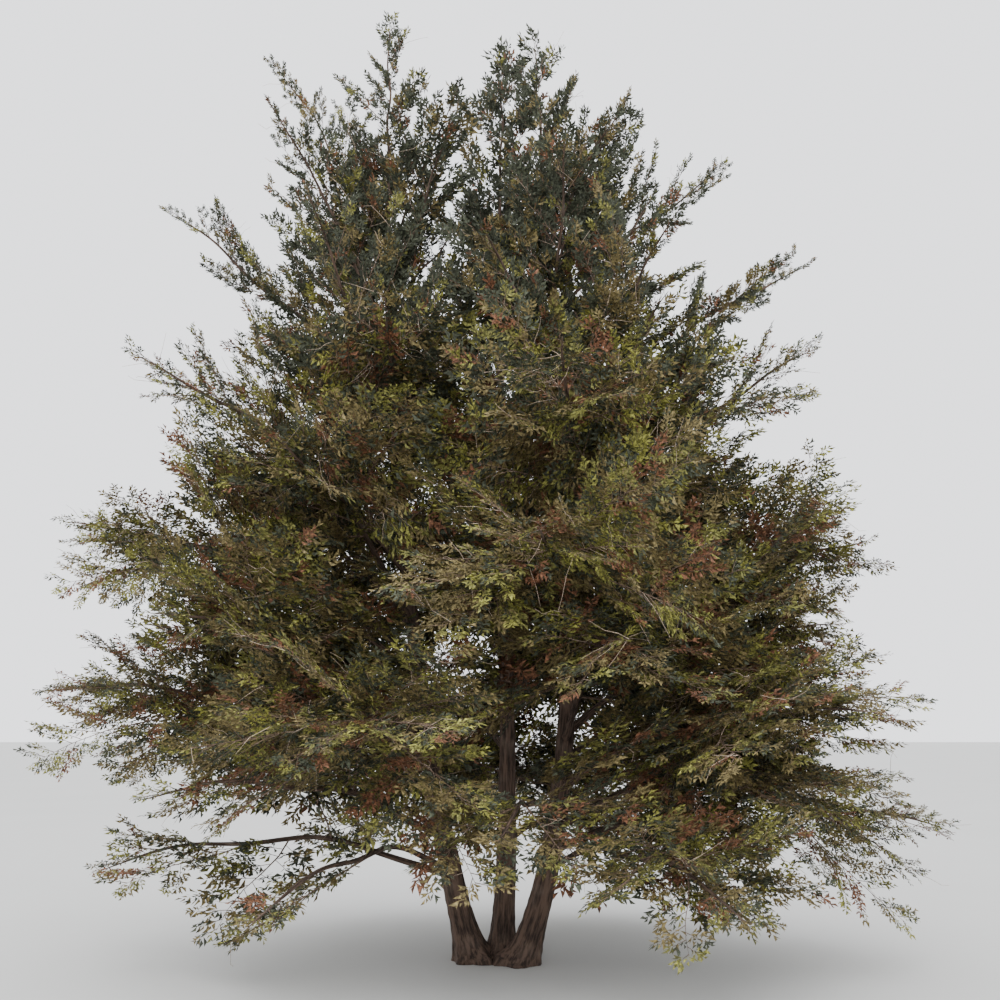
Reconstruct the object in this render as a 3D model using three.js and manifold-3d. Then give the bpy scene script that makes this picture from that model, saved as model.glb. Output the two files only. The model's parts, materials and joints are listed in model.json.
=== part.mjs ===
// Hinoki cypress, a garden tree of about 7.5 m: three stems rise from one root crown, tiers of boughs leave
// them all round, and each bough ends in a flat, fan-like mass of scale-leaf sprays.
// Millimetres and degrees. +X is the tree's right seen from the front, +Y its back and +Z up. The origin is
// the middle of the root crown's flat cut at ground level. An azimuth of 0 is right, 90 back, 180 left and
// 270 the front.
import * as THREE from "three";
import { mergeVertices } from "three/addons/utils/BufferGeometryUtils.js";
import Module from "manifold-3d";

const wasm = await Module();
wasm.setup();

const CLEARANCE = 0.3; // between any two pieces that meet
const FORK_HEIGHT = 260; // where the three stems leave the root crown
const CUTTER = 9000; // side of the blocks that trim the foot
const STEM_SIDES = 10;
const STEM_RINGS = 10;
const STEM_TIP_RADIUS = 13;
const STEM_TAPER = 1.3; // above 1 thins the stem early
const FOOT_EASE = 1.7; // above 1 crowds the rings near the foot
const BELOW_GROUND = -0.03; // share of a stem that is made below the ground and cut off
const FLARE = 0.85; // extra radius at the ground, as a share
const FLARE_HEIGHT = 110; // the flare falls to a third over this height
const FLARE_LOBES = 5;
const FLARE_LOBE_DEPTH = 0.32;

// Each stem is one cubic curve from the ground to the tip of its wood.
const STEMS = [
  {
    name: "stem_left",
    foot: [-190, 40, 0],
    knee: [-660, 70, 1500],
    shoulder: [-900, 130, 4200],
    tip: [-925, 100, 6250],
    girth: 94,
    top: 7500,
  },
  {
    name: "stem_centre",
    foot: [10, 120, 0],
    knee: [140, 330, 1700],
    shoulder: [-50, 420, 4300],
    tip: [0, 330, 6150],
    girth: 86,
    top: 7340,
  },
  {
    name: "stem_right",
    foot: [140, -60, 0],
    knee: [780, -190, 1500],
    shoulder: [420, -150, 4400],
    tip: [340, -120, 6050],
    girth: 92,
    top: 7200,
  },
];

// Boughs leave the stems in tiers. Reach and tip are those of a bough that points left, of one that points
// right and of one that points to the front or the back; the others lie between. Arch is how far the curve's
// middle rises above its chord, as a share of it. Spread is the longest side frond, lift how far its tip
// rises, as a share of its length, limb the radius of the wood where it leaves the stem, and fronds their
// number in one mass. The tiers with a bare share have boughs of their own.
const TIERS = [
  {
    name: "skirt",
    boughs: 6,
    turn: 0,
    leaves: 720,
    rise: 300,
    reach: [2780, 3440, 2600],
    tip: [640, 880, 560],
    arch: 0.1,
    spread: 1120,
    lift: -0.08,
    limb: 25,
    fronds: 9,
    bare: 0.34,
  },
  {
    name: "lower",
    boughs: 5,
    turn: 36,
    leaves: 1250,
    rise: 400,
    reach: [3280, 3000, 2850],
    tip: [1900, 1840, 1500],
    arch: 0.1,
    spread: 1280,
    lift: -0.04,
    limb: 29,
    fronds: 9,
    bare: 0.35,
  },
  {
    name: "middle",
    boughs: 5,
    turn: -18,
    leaves: 2000,
    rise: 450,
    reach: [3220, 2680, 2750],
    tip: [3080, 2950, 2650],
    arch: 0.09,
    spread: 1280,
    lift: 0.02,
    limb: 27,
    fronds: 9,
    bare: 0.35,
  },
  {
    name: "upper",
    boughs: 5,
    turn: 60,
    leaves: 2750,
    rise: 420,
    reach: [2720, 2480, 2400],
    tip: [4300, 4460, 3850],
    arch: 0.08,
    spread: 1150,
    lift: 0.08,
    limb: 23,
    fronds: 9,
  },
  {
    name: "shoulder",
    boughs: 6,
    turn: 0,
    leaves: 3700,
    rise: 380,
    reach: [2660, 2550, 1900],
    tip: [5760, 5240, 4750],
    arch: 0.07,
    spread: 920,
    lift: 0.14,
    limb: 19,
    fronds: 8,
  },
  {
    name: "plume",
    boughs: 5,
    turn: 0,
    leaves: 4700,
    rise: 300,
    reach: [2150, 1970, 1300],
    tip: [6400, 6220, 5600],
    arch: 0.06,
    spread: 700,
    lift: 0.18,
    limb: 16,
    fronds: 8,
  },
  {
    name: "crest",
    boughs: 5,
    turn: 36,
    leaves: 5350,
    rise: 300,
    reach: [1815, 1450, 900],
    tip: [7010, 6300, 6250],
    arch: 0.06,
    spread: 540,
    lift: 0.2,
    limb: 14,
    fronds: 7,
  },
];
const LEADER = { spread: 520, lift: 0.16, limb: STEM_TIP_RADIUS, fronds: 8 };
const CROWN_MIDDLE = [-60, 40]; // the axis that the reach is measured from
const AZIMUTH_PLAY = 6; // how far a bough may turn from its even place in the tier
const REACH_PLAY = 0.03;
const BOUGH_SIDES = 5;
const BOUGH_RINGS = 3;
const BOUGH_THINNING = 0.66; // share of its radius that a bough loses on its whole reach
const STEM_SHARE = 0.62; // a bough is never thicker than this share of its stem

// One mass of foliage: a stem with side fronds, and a frond that its own end widens into. A frond is a twig
// that widens into lobes on both hands, drawn over a diamond section.
const MASS_RINGS = 3;
const AXIS_END = 0.84; // the wood ends here and the frond at its end goes on to the full reach
const FIRST_FROND = { bough: 0.02, trunk: 0.22, leader: 0.04 };
const LAST_FROND = 0.97;
const FAN_TIP = 0.25; // width of a mass at its tip, as a share of its spread
const FAN_SWELL = [0.25, 1]; // the part of a half turn that the width follows, so it is fullest at a third
const FROND_PLAY = 0.15; // how far a frond's length may differ from its even share
const FROND_ANGLE = [66, 34]; // from the stem, at the first frond and at the last
const FROND_RISE = 50; // how far a frond's twig turns out of the fan's flat at most
const FROND_ROLL = [24, 62]; // how far its blade turns about its own twig
const GOLDEN_ANGLE = 137.5; // round an upright leader
const TWIG_SHARE = 0.55; // a frond's twig against the stem that it grows from
const FROND_THICKNESS = 0.007; // half of it, as a share of the length
// Half of a frond's outline past its twig, along it and across it, as shares of its length.
const TWIG_END = 0.22;
const FROND_LOBES = [
  [0.54, 0.25],
  [1, 0],
];
const SHORTENED = [1, 0.8, 0.6, 0.42]; // the lengths that a frond may take where its space is narrow
const SPACE_MARGIN = 26; // a mass keeps this far inside its own space
const LIMB_MARGIN = 14; // and this far off every limb
const AXIS_SAMPLES = 9;
const STEM_SAMPLES = 27;

const bark = () => new THREE.MeshStandardMaterial({ color: 0x4f3d31, roughness: 0.92, metalness: 0 });
const foliage = () =>
  new THREE.MeshStandardMaterial({ color: 0x47502c, roughness: 0.75, metalness: 0 });

const SEED_RANGE = 2 ** 32;
const SEED_FACTOR = 1664525;
const SEED_STEP = 1013904223;
const SEED_STRIDE = 7919;
const SEED_START = 104729;
const SEEDS_SKIPPED = 4;
const TIER_SEED = 100; // seeds from one tier to the next
const FROND_SEED = 50; // seeds from one mass to the next for their side fronds
const LEADER_SEED = 900;
const END_SEED = 5000;
const SAME_PLACE = 1e-3; // vertices nearer than this are one
const HEADING_STEP = 1e-3;
const HALVINGS = 40;

const UP = new THREE.Vector3(0, 0, 1);
const RIGHT = new THREE.Vector3(1, 0, 0);

const radians = THREE.MathUtils.degToRad;
const mix = THREE.MathUtils.lerp;
const vector = (values) => new THREE.Vector3(...values);

// A repeatable series of numbers from 0 to 1, by a linear congruence.
function seeded(seed) {
  let state = (seed * SEED_STRIDE + SEED_START) % SEED_RANGE;
  const next = () => {
    state = (state * SEED_FACTOR + SEED_STEP) % SEED_RANGE;
    return state / SEED_RANGE;
  };
  for (let skipped = 0; skipped < SEEDS_SKIPPED; skipped++) next();
  return next;
}

// A number from -1 to 1.
const swing = (chance) => 2 * chance() - 1;

// The curve's direction at t, also a little before its start and after its end.
function headingAt(curve, t) {
  return curve
    .getPoint(t + HEADING_STEP)
    .sub(curve.getPoint(t - HEADING_STEP))
    .normalize();
}

// Where a curve that climbs all the way reaches this height, by halving.
function shareAtHeight(curve, height) {
  let low = 0;
  let high = 1;
  for (let step = 0; step < HALVINGS; step++) {
    const middle = (low + high) / 2;
    if (curve.getPoint(middle).z < height) low = middle;
    else high = middle;
  }
  return low;
}

// The turned frame of a limb: side lies level, over is square to it and points mostly up.
function frameAt(curve, t, reference = UP) {
  const along = headingAt(curve, t);
  const side = new THREE.Vector3().crossVectors(along, reference).normalize();
  const over = new THREE.Vector3().crossVectors(side, along);
  return { along, side, over };
}

// A closed geometry as a solid that can be joined and cut.
function solidOf(geometry) {
  geometry.deleteAttribute("normal");
  geometry.deleteAttribute("uv");
  const merged = mergeVertices(geometry, SAME_PLACE);
  return new wasm.Manifold(
    new wasm.Mesh({
      numProp: 3,
      vertProperties: merged.attributes.position.array,
      triVerts: new Uint32Array(merged.index.array),
    }),
  );
}

// A solid drawn over rings, each with its middle, its frame and its half width and half height.
function loft(rings, sides, pointed) {
  const spans = rings.length - 1;
  const geometry = pointed
    ? new THREE.ConeGeometry(1, 1, sides, spans)
    : new THREE.CylinderGeometry(1, 1, 1, sides, spans);
  const places = geometry.attributes.position;
  for (let i = 0; i < places.count; i++) {
    const { middle, side, over, wide, high } = rings[Math.round((places.getY(i) + 0.5) * spans)];
    const place = middle.clone();
    if (Math.hypot(places.getX(i), places.getZ(i)) > SAME_PLACE) {
      const angle = Math.atan2(places.getX(i), places.getZ(i));
      place.addScaledVector(side, wide(angle) * Math.sin(angle));
      place.addScaledVector(over, high(angle) * Math.cos(angle));
    }
    places.setXYZ(i, place.x, place.y, place.z);
  }
  return solidOf(geometry);
}

// The rings of a round limb along a curve, with a radius for each place and angle.
function limbRings(curve, from, to, radiusAt, spans, ease = 1, reference = UP) {
  return Array.from({ length: spans + 1 }, (_, ring) => {
    const t = mix(from, to, (ring / spans) ** ease);
    const radius = (angle) => radiusAt(t, angle);
    return {
      middle: curve.getPoint(t),
      ...frameAt(curve, t, reference),
      wide: radius,
      high: radius,
    };
  });
}

// A block as wide as the foot needs, from one height to another.
function block(low, high) {
  const geometry = new THREE.BoxGeometry(CUTTER, CUTTER, high - low);
  geometry.translate(0, 0, (low + high) / 2);
  return solidOf(geometry);
}

function stemRadius(stem, t, angle) {
  const wood = mix(STEM_TIP_RADIUS, stem.girth, (1 - Math.max(t, 0)) ** STEM_TAPER);
  const height = Math.max(stem.curve.getPoint(t).z, 0);
  const lobes = 1 + FLARE_LOBE_DEPTH * Math.cos(FLARE_LOBES * angle + stem.foot[0]);
  return wood * (1 + FLARE * Math.exp(-height / FLARE_HEIGHT) * lobes);
}

function wholeStem(stem, extra = 0) {
  const radiusAt = (t, angle) => stemRadius(stem, t, angle) + extra;
  const rings = limbRings(stem.curve, BELOW_GROUND, 1, radiusAt, STEM_RINGS, FOOT_EASE, RIGHT);
  return loft(rings, STEM_SIDES);
}

// A size between those to the left, to the right and in depth, by the way that a bough points.
const towards = (outward, [left, right, depth]) =>
  mix(mix(left, right, (1 + outward.x) / 2), depth, outward.y ** 2);

// Every bough of every tier, with the curve from its stem's axis to the end of its reach.
function planBoughs(stems) {
  const plan = [];
  for (const [level, tier] of TIERS.entries()) {
    for (let place = 0; place < tier.boughs; place++) {
      const seed = TIER_SEED * level + place;
      const chance = seeded(seed);
      const azimuth = radians(
        tier.turn + (360 * place) / tier.boughs + AZIMUTH_PLAY * swing(chance),
      );
      const outward = new THREE.Vector3(Math.cos(azimuth), Math.sin(azimuth), 0);
      const height = tier.leaves + (tier.rise / 2) * swing(chance);
      const stem = stems
        .map((candidate) => ({
          candidate,
          root: candidate.curve.getPoint(shareAtHeight(candidate.curve, height)),
        }))
        .sort((a, b) => b.root.dot(outward) - a.root.dot(outward))[0];
      const reach = towards(outward, tier.reach) * (1 + REACH_PLAY * swing(chance));
      const tip = vector([...CROWN_MIDDLE, towards(outward, tier.tip)]);
      tip.addScaledVector(outward, reach);
      const middle = stem.root.clone().lerp(tip, 0.5);
      middle.z += 2 * tier.arch * stem.root.distanceTo(tip);
      const share = shareAtHeight(stem.candidate.curve, height);
      plan.push({
        name: `${tier.name}_${place + 1}`,
        seed,
        kind: tier.bare ? "bough" : "trunk",
        tier,
        stem: stem.candidate,
        curve: new THREE.QuadraticBezierCurve3(stem.root, middle, tip),
        radius: Math.min(tier.limb, STEM_SHARE * stemRadius(stem.candidate, share, 0)),
        bare: tier.bare ?? 0,
      });
    }
  }
  return plan;
}

// The leading shoot that goes on from the tip of each stem's wood to its top.
function planLeaders(stems) {
  return stems.map((stem, place) => {
    const root = stem.curve.getPoint(1);
    const heading = headingAt(stem.curve, 1);
    const tip = root.clone().addScaledVector(heading, (stem.top - root.z) / heading.z);
    return {
      name: `leader_${stem.name.split("_")[1]}`,
      seed: LEADER_SEED + place,
      kind: "leader",
      tier: LEADER,
      stem,
      curve: new THREE.QuadraticBezierCurve3(root, root.clone().lerp(tip, 0.5), tip),
      radius: STEM_TIP_RADIUS,
      bare: CLEARANCE / root.distanceTo(tip),
    };
  });
}

const woodRadius = (bough, t) => bough.radius * (1 - BOUGH_THINNING * t);

function boughWood(bough) {
  const radiusAt = (t) => woodRadius(bough, t);
  const wood = loft(limbRings(bough.curve, 0, bough.bare, radiusAt, BOUGH_RINGS), BOUGH_SIDES);
  return wood.subtract(wholeStem(bough.stem, CLEARANCE));
}

// How wide a mass is at a share of its stem.
const fanWidth = (share) => mix(FAN_TIP, 1, Math.sin(Math.PI * mix(...FAN_SWELL, share)));

// A point on the chords between the rings of a mass's stem, so that a frond starts inside its wood.
function stemPoint(mass, t) {
  const ring = ((t - mass.bare) / (AXIS_END - mass.bare)) * MASS_RINGS;
  const before = Math.min(Math.floor(ring), MASS_RINGS - 1);
  const [start, end] = [before, before + 1].map((one) =>
    mass.curve.getPoint(mix(mass.bare, AXIS_END, one / MASS_RINGS)),
  );
  return start.lerp(end, ring - before);
}

// One frond from its root along its heading, turned about that heading by its roll.
function frondAt(root, heading, reference, length, roll) {
  const level = new THREE.Vector3().crossVectors(heading, reference).normalize();
  const square = new THREE.Vector3().crossVectors(level, heading);
  const side = level.clone().multiplyScalar(Math.cos(roll)).addScaledVector(square, Math.sin(roll));
  const over = new THREE.Vector3().crossVectors(side, heading);
  return { root, heading, side, over, length };
}

// How far a blade turns about its own twig, to either hand.
const rollBy = (chance) => radians(mix(...FROND_ROLL, chance())) * Math.sign(swing(chance));

// The side fronds of a mass, on alternate hands of its stem.
function planFronds(mass) {
  const reference = mass.kind === "leader" ? RIGHT : UP;
  const count = mass.tier.fronds;
  return Array.from({ length: count }, (_, place) => {
    const chance = seeded(FROND_SEED * mass.seed + place);
    const share = mix(FIRST_FROND[mass.kind], LAST_FROND, place / (count - 1));
    const t = mix(mass.bare, AXIS_END, share);
    const { along, side, over } = frameAt(mass.curve, t, reference);
    const length = mass.tier.spread * fanWidth(share) * (1 + FROND_PLAY * swing(chance));
    const angle = radians(mix(...FROND_ANGLE, share));
    const hand = place % 2 ? 1 : -1;
    const rise = radians(
      mass.kind === "leader" ? GOLDEN_ANGLE * place : FROND_RISE * swing(chance),
    );
    const outward = side
      .clone()
      .multiplyScalar(hand * Math.cos(rise))
      .addScaledVector(over, Math.sin(rise));
    const heading = along
      .clone()
      .multiplyScalar(Math.cos(angle))
      .addScaledVector(outward, Math.sin(angle));
    heading.z += mass.tier.lift;
    const roll = rollBy(chance);
    const twig = TWIG_SHARE * woodRadius(mass, t);
    return { ...frondAt(stemPoint(mass, t), heading.normalize(), over, length, roll), twig };
  });
}

// The frond that the end of a mass's stem widens into.
function endFrond(mass) {
  const { along, over } = frameAt(mass.curve, AXIS_END, mass.kind === "leader" ? RIGHT : UP);
  const root = mass.curve.getPoint(AXIS_END);
  const roll = rollBy(seeded(END_SEED + mass.seed));
  const length = root.distanceTo(mass.curve.getPoint(1)) / (1 - TWIG_END);
  return frondAt(root.addScaledVector(along, -TWIG_END * length), along, over, length, roll);
}

// The rings of a frond's lobes, from the end of its twig to its tip.
const lobeRings = ({ root, heading, side, over, length }) =>
  FROND_LOBES.map(([along, across]) => ({
    middle: root.clone().addScaledVector(heading, along * length),
    side,
    over,
    wide: () => across * length,
    high: () => (along < 1 ? FROND_THICKNESS * length : 0),
  }));

function frondSolid(frond) {
  const { root, heading, side, over, length, twig } = frond;
  const wood = [0, TWIG_END].map((along) => ({
    middle: root.clone().addScaledVector(heading, along * length),
    side,
    over,
    wide: () => twig * (1 - along),
    high: () => twig * (1 - along),
  }));
  return loft([...wood, ...lobeRings(frond)], 4, true);
}

const samplesOf = (curve, from, to, count) =>
  Array.from({ length: count }, (_, i) => curve.getPoint(mix(from, to, i / (count - 1))));

// The smallest distance from a point to a line of samples, less the radius there.
function gapTo(point, samples, radii) {
  const span = new THREE.Line3();
  const nearest = new THREE.Vector3();
  let gap = Infinity;
  for (let i = 0; i + 1 < samples.length; i++) {
    span.set(samples[i], samples[i + 1]);
    span.closestPointToPoint(point, true, nearest);
    gap = Math.min(gap, nearest.distanceTo(point) - (radii ? radii[i] : 0));
  }
  return gap;
}

// Whether all these points lie in a mass's own space, clear of every limb.
function fits(points, mass, masses, limbs) {
  return points.every((point) => {
    if (point.z < SPACE_MARGIN) return false;
    const own = gapTo(point, mass.axis);
    return (
      limbs.every((one) => gapTo(point, one.samples, one.radii) > LIMB_MARGIN) &&
      masses.every((other) => other === mass || gapTo(point, other.axis) > own + 2 * SPACE_MARGIN)
    );
  });
}

const outlinePoints = ({ root, heading, side, length }) =>
  [[TWIG_END, 0], ...FROND_LOBES].flatMap(([along, across]) =>
    [-1, 1].map((hand) =>
      root
        .clone()
        .addScaledVector(heading, along * length)
        .addScaledVector(side, hand * across * length),
    ),
  );

function massSolid(mass, masses, limbs) {
  const gap = mass.kind === "bough" ? CLEARANCE / mass.curve.getLength() : 0;
  const rings = limbRings(
    mass.curve,
    mass.bare + gap,
    AXIS_END,
    (t) => woodRadius(mass, t),
    MASS_RINGS,
    1,
    mass.kind === "leader" ? RIGHT : UP,
  );
  const stem = loft([...rings, ...lobeRings(endFrond(mass))], 4, true);
  const parts = [mass.kind === "trunk" ? stem.subtract(wholeStem(mass.stem, CLEARANCE)) : stem];
  for (const frond of planFronds(mass)) {
    const fitting = SHORTENED.map((share) => ({ ...frond, length: share * frond.length })).find(
      (shorter) => fits(outlinePoints(shorter), mass, masses, limbs),
    );
    if (fitting) parts.push(frondSolid(fitting));
  }
  return wasm.Manifold.union(parts);
}

// The mesh of one piece, with its own origin at the given place.
function meshOf(name, solid, material, at = new THREE.Vector3()) {
  const { vertProperties, triVerts } = solid.getMesh();
  const geometry = new THREE.BufferGeometry();
  geometry.setAttribute("position", new THREE.BufferAttribute(vertProperties, 3));
  geometry.setIndex(new THREE.BufferAttribute(triVerts, 1));
  geometry.translate(-at.x, -at.y, -at.z);
  geometry.computeVertexNormals();
  const mesh = new THREE.Mesh(geometry, material);
  mesh.name = name;
  mesh.position.copy(at);
  return mesh;
}

function rootCrown(stems) {
  const solid = wasm.Manifold.union(stems.map((stem) => wholeStem(stem)))
    .subtract(block(-CUTTER, 0))
    .subtract(block(FORK_HEIGHT, CUTTER));
  return meshOf("root_crown", solid, bark());
}

function stemMesh(stem) {
  const solid = wholeStem(stem).subtract(block(-CUTTER, FORK_HEIGHT + CLEARANCE));
  return meshOf(stem.name, solid, bark(), stem.curve.getPoint(0));
}

// What a twig or a blade must stay clear of: the stems and the boughs, as lines with a radius at each place.
function limbLines(stems, boughs) {
  return [
    ...stems.map((stem) => ({
      samples: samplesOf(stem.curve, 0, 1, STEM_SAMPLES),
      radii: Array.from({ length: STEM_SAMPLES }, (_, i) =>
        stemRadius(stem, i / (STEM_SAMPLES - 1), 0),
      ),
    })),
    ...boughs.map((bough) => ({
      samples: samplesOf(bough.curve, 0, bough.bare, AXIS_SAMPLES),
      radii: Array(AXIS_SAMPLES).fill(bough.radius),
    })),
  ];
}

function plantTree() {
  const stems = STEMS.map((stem) => ({
    ...stem,
    curve: new THREE.CubicBezierCurve3(
      ...[stem.foot, stem.knee, stem.shoulder, stem.tip].map(vector),
    ),
  }));
  const reaches = planBoughs(stems);
  const boughs = reaches.filter((one) => one.kind === "bough");
  const masses = [...reaches, ...planLeaders(stems)].map((mass) => ({
    ...mass,
    axis: samplesOf(mass.curve, mass.bare, 1, AXIS_SAMPLES),
  }));
  const limbs = limbLines(stems, boughs);

  const wood = new THREE.Group();
  wood.add(rootCrown(stems), ...stems.map(stemMesh));
  for (const bough of boughs) {
    wood.add(meshOf(`bough_${bough.name}`, boughWood(bough), bark(), bough.curve.getPoint(0)));
  }
  const crown = new THREE.Group();
  for (const mass of masses) {
    const solid = massSolid(mass, masses, limbs);
    const root = mass.curve.getPoint(mass.bare);
    crown.add(meshOf(`foliage_${mass.name}`, solid, foliage(), root));
  }
  return new THREE.Group().add(wood, crown);
}

export default plantTree();
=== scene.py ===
"""Hinoki cypress, a garden tree of 7.5 m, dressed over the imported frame.

The rule that grows the solids is written again here, in metres, and carried to finer growth: limbs bear
fronds, fronds bear twiglets, and twiglets bear the ragged sprays of scale leaves. +X is the tree's
right seen from the front, +Y its back and +Z up. An azimuth of 0 is right, 90 back, 180 left and 270 the
front.
"""

import json
import logging
import math
from collections import defaultdict
from collections.abc import Sequence
from dataclasses import dataclass, field, replace
from enum import Enum
from statistics import mean

import bmesh
import bpy
import numpy as np
from mathutils import Matrix, Vector, noise

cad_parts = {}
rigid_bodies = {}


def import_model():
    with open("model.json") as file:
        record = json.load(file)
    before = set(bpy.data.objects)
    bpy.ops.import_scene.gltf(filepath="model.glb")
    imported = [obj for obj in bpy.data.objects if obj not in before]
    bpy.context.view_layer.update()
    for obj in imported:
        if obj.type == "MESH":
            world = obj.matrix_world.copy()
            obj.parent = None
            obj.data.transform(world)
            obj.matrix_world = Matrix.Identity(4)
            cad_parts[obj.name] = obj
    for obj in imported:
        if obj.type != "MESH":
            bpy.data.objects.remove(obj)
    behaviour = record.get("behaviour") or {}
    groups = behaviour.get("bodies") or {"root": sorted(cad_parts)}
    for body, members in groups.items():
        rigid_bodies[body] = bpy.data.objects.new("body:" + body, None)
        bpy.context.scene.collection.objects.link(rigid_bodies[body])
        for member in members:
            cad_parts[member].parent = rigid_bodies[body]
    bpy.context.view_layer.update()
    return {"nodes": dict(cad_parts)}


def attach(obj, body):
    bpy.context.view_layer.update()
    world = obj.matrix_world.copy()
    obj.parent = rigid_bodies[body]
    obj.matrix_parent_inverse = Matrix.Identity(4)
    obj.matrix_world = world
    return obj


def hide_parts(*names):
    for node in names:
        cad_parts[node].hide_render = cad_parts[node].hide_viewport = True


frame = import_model()
log = logging.getLogger("hinoki")

BODY = "root"
UP = Vector((0, 0, 1))
RIGHT = Vector((1, 0, 0))
FULL_TURN = 2 * math.pi

# The numbers of the source's rule, with its lengths in metres.
SEED_RANGE = 2**32
SEED_FACTOR = 1664525
SEED_STEP = 1013904223
SEED_STRIDE = 7919
SEED_START = 104729
SEEDS_SKIPPED = 4
TIER_SEED = 100
FROND_SEED = 50
LEADER_SEED = 900
END_SEED = 5000
HALVINGS = 40
HEADING_STEP = 4e-3
CROWN_MIDDLE = Vector((-0.06, 0.04, 0))
AZIMUTH_PLAY = 6
REACH_PLAY = 0.03
STEM_TIP_RADIUS = 0.013
STEM_TAPER = 1.3
FLARE = 0.85
FLARE_HEIGHT = 0.11
FLARE_LOBES = 5
FLARE_LOBE_DEPTH = 0.32
FLARE_LOBE_TURN = 1000  # how far a stem's lobes turn with its foot, in radians to a metre
BELOW_GROUND = -0.03
BOUGH_THINNING = 0.66
TIP_THINNING = 0.7
STEM_SHARE = 0.62
AXIS_END = 0.84
LAST_FROND = 0.97
FAN_TIP = 0.25
FAN_SWELL = (0.25, 1)
FROND_PLAY = 0.15
FROND_ANGLE = (66, 34)
FROND_RISE = 50
FROND_ROLL = (24, 62)
GOLDEN_ANGLE = 137.5

# What carries the rule on to finer growth.
BETWEEN_TIER_SEED = 3000
BETWEEN_BARE = 0.22
BETWEEN_SEED = 20000  # seeds of the fronds that come between
BETWEEN_LENGTH = 0.8  # of those fronds, against the source's own
TWIGLET_SEED = 100000
SWAY_SEED = 7000
SWAY = 0.012  # how far a limb swings to either side, as a share of its length
LIMB_WAVES = (1.3, 2.1)  # of those swings along it, aside and upward
FROND_SWAY = 0.03
FROND_WAVES = 1.1
FROND_TWIG = 0.42  # a frond's twig against the limb that it grows from
GROUND_GAP = 0.02  # no leaf comes nearer to the ground
SKIRT_TOP = 1.22  # below it the crown is thin to the left
SKIRT_SLOPE = 0.9  # how fast that height falls to the right
WINDOW = (-0.85, 0.6, 1.8)  # left, right and top of the thin place before the stems
SHOULDER = (0.8, 3.6)  # left end and foot of the open place to the right
TWIG_TIP_RADIUS = 0.001


def mix(low: float, high: float, share: float) -> float:
    """The number at a share of the way from low to high."""
    return low + (high - low) * share


def fan_width(share: float) -> float:
    """How wide a fan is at a share of its stem, against its widest."""
    return mix(FAN_TIP, 1, math.sin(math.pi * mix(*FAN_SWELL, share)))


def hand_of(place: int) -> int:
    """The side that a numbered shoot leaves on, 1 and -1 in turns."""
    return 1 if place % 2 else -1


class Chance:
    """A repeatable series of numbers, the same as the source's."""

    def __init__(self, seed: int) -> None:
        """Starts the series and skips its first numbers.

        Args:
            seed: A whole number that names the series.
        """
        self.state = (seed * SEED_STRIDE + SEED_START) % SEED_RANGE
        for _ in range(SEEDS_SKIPPED):
            self.share()

    def share(self) -> float:
        """The next number from 0 to 1."""
        self.state = (self.state * SEED_FACTOR + SEED_STEP) % SEED_RANGE
        return self.state / SEED_RANGE

    def swing(self) -> float:
        """The next number from -1 to 1."""
        return 2 * self.share() - 1

    def hand(self) -> int:
        """1 or -1, by an even chance."""
        return 1 if self.share() < 0.5 else -1

    def roll(self) -> float:
        """How far a blade turns about its own twig, to either hand, in radians."""
        turned = math.radians(mix(*FROND_ROLL, self.share()))
        return math.copysign(turned, self.swing())


@dataclass(frozen=True)
class Turned:
    """A direction with the level side and the upper side that go with it."""

    along: Vector
    side: Vector
    over: Vector

    @classmethod
    def about(cls, along: Vector, reference: Vector) -> "Turned":
        """The frame whose side is square to a reference.

        Args:
            along: The direction, of length 1.
            reference: The direction that the side is square to.

        Returns:
            The frame.
        """
        side = along.cross(reference).normalized()
        return cls(along, side, side.cross(along))

    def rolled(self, angle: float) -> "Turned":
        """The frame turned about its own direction, by radians."""
        side = self.side * math.cos(angle) + self.over * math.sin(angle)
        return Turned(self.along, side, side.cross(self.along))


@dataclass(frozen=True)
class Curve:
    """A Bezier curve of three or four points."""

    points: tuple[Vector, ...]

    def point(self, t: float) -> Vector:
        """The point at t, by lines between neighbours until one is left.

        Args:
            t: Where on the curve.

        Returns:
            The point.
        """
        row = list(self.points)
        while len(row) > 1:
            row = [a + (b - a) * t for a, b in zip(row, row[1:])]
        return row[0]

    def heading(self, t: float) -> Vector:
        """The direction at t."""
        return (self.point(t + HEADING_STEP) - self.point(t - HEADING_STEP)).normalized()

    def share_at_height(self, height: float) -> float:
        """Where a curve that climbs all the way reaches this height.

        Args:
            height: In metres above the ground.

        Returns:
            The curve's t there.
        """
        low, high = 0.0, 1.0
        for _ in range(HALVINGS):
            middle = (low + high) / 2
            if self.point(middle).z < height:
                low = middle
            else:
                high = middle
        return low


@dataclass(frozen=True)
class Stem:
    """One of the three stems, with its curve from the ground to the tip of its wood."""

    name: str
    curve: Curve
    girth: float
    top: float

    def wood(self, t: float) -> float:
        """The radius without the flare."""
        return mix(STEM_TIP_RADIUS, self.girth, (1 - max(t, 0)) ** STEM_TAPER)

    def radius(self, t: float, angle: float) -> float:
        """The source's radius.

        Args:
            t: Where on the curve.
            angle: Round the stem, in radians.

        Returns:
            The radius with the lobed flare of the foot, in metres.
        """
        turned = FLARE_LOBES * angle + FLARE_LOBE_TURN * self.curve.points[0].x
        lobes = 1 + FLARE_LOBE_DEPTH * math.cos(turned)
        height = max(self.curve.point(t).z, 0)
        return self.wood(t) * (1 + FLARE * math.exp(-height / FLARE_HEIGHT) * lobes)


def stem(name: str, places: Sequence[tuple[float, float, float]], girth: float, top: float) -> Stem:
    """A stem through foot, knee, shoulder and tip.

    Args:
        name: Of its node in the frame.
        places: The four points of its curve.
        girth: Radius near the ground.
        top: Height of the leading shoot's tip.

    Returns:
        The stem.
    """
    return Stem(name, Curve(tuple(Vector(place) for place in places)), girth, top)


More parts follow.
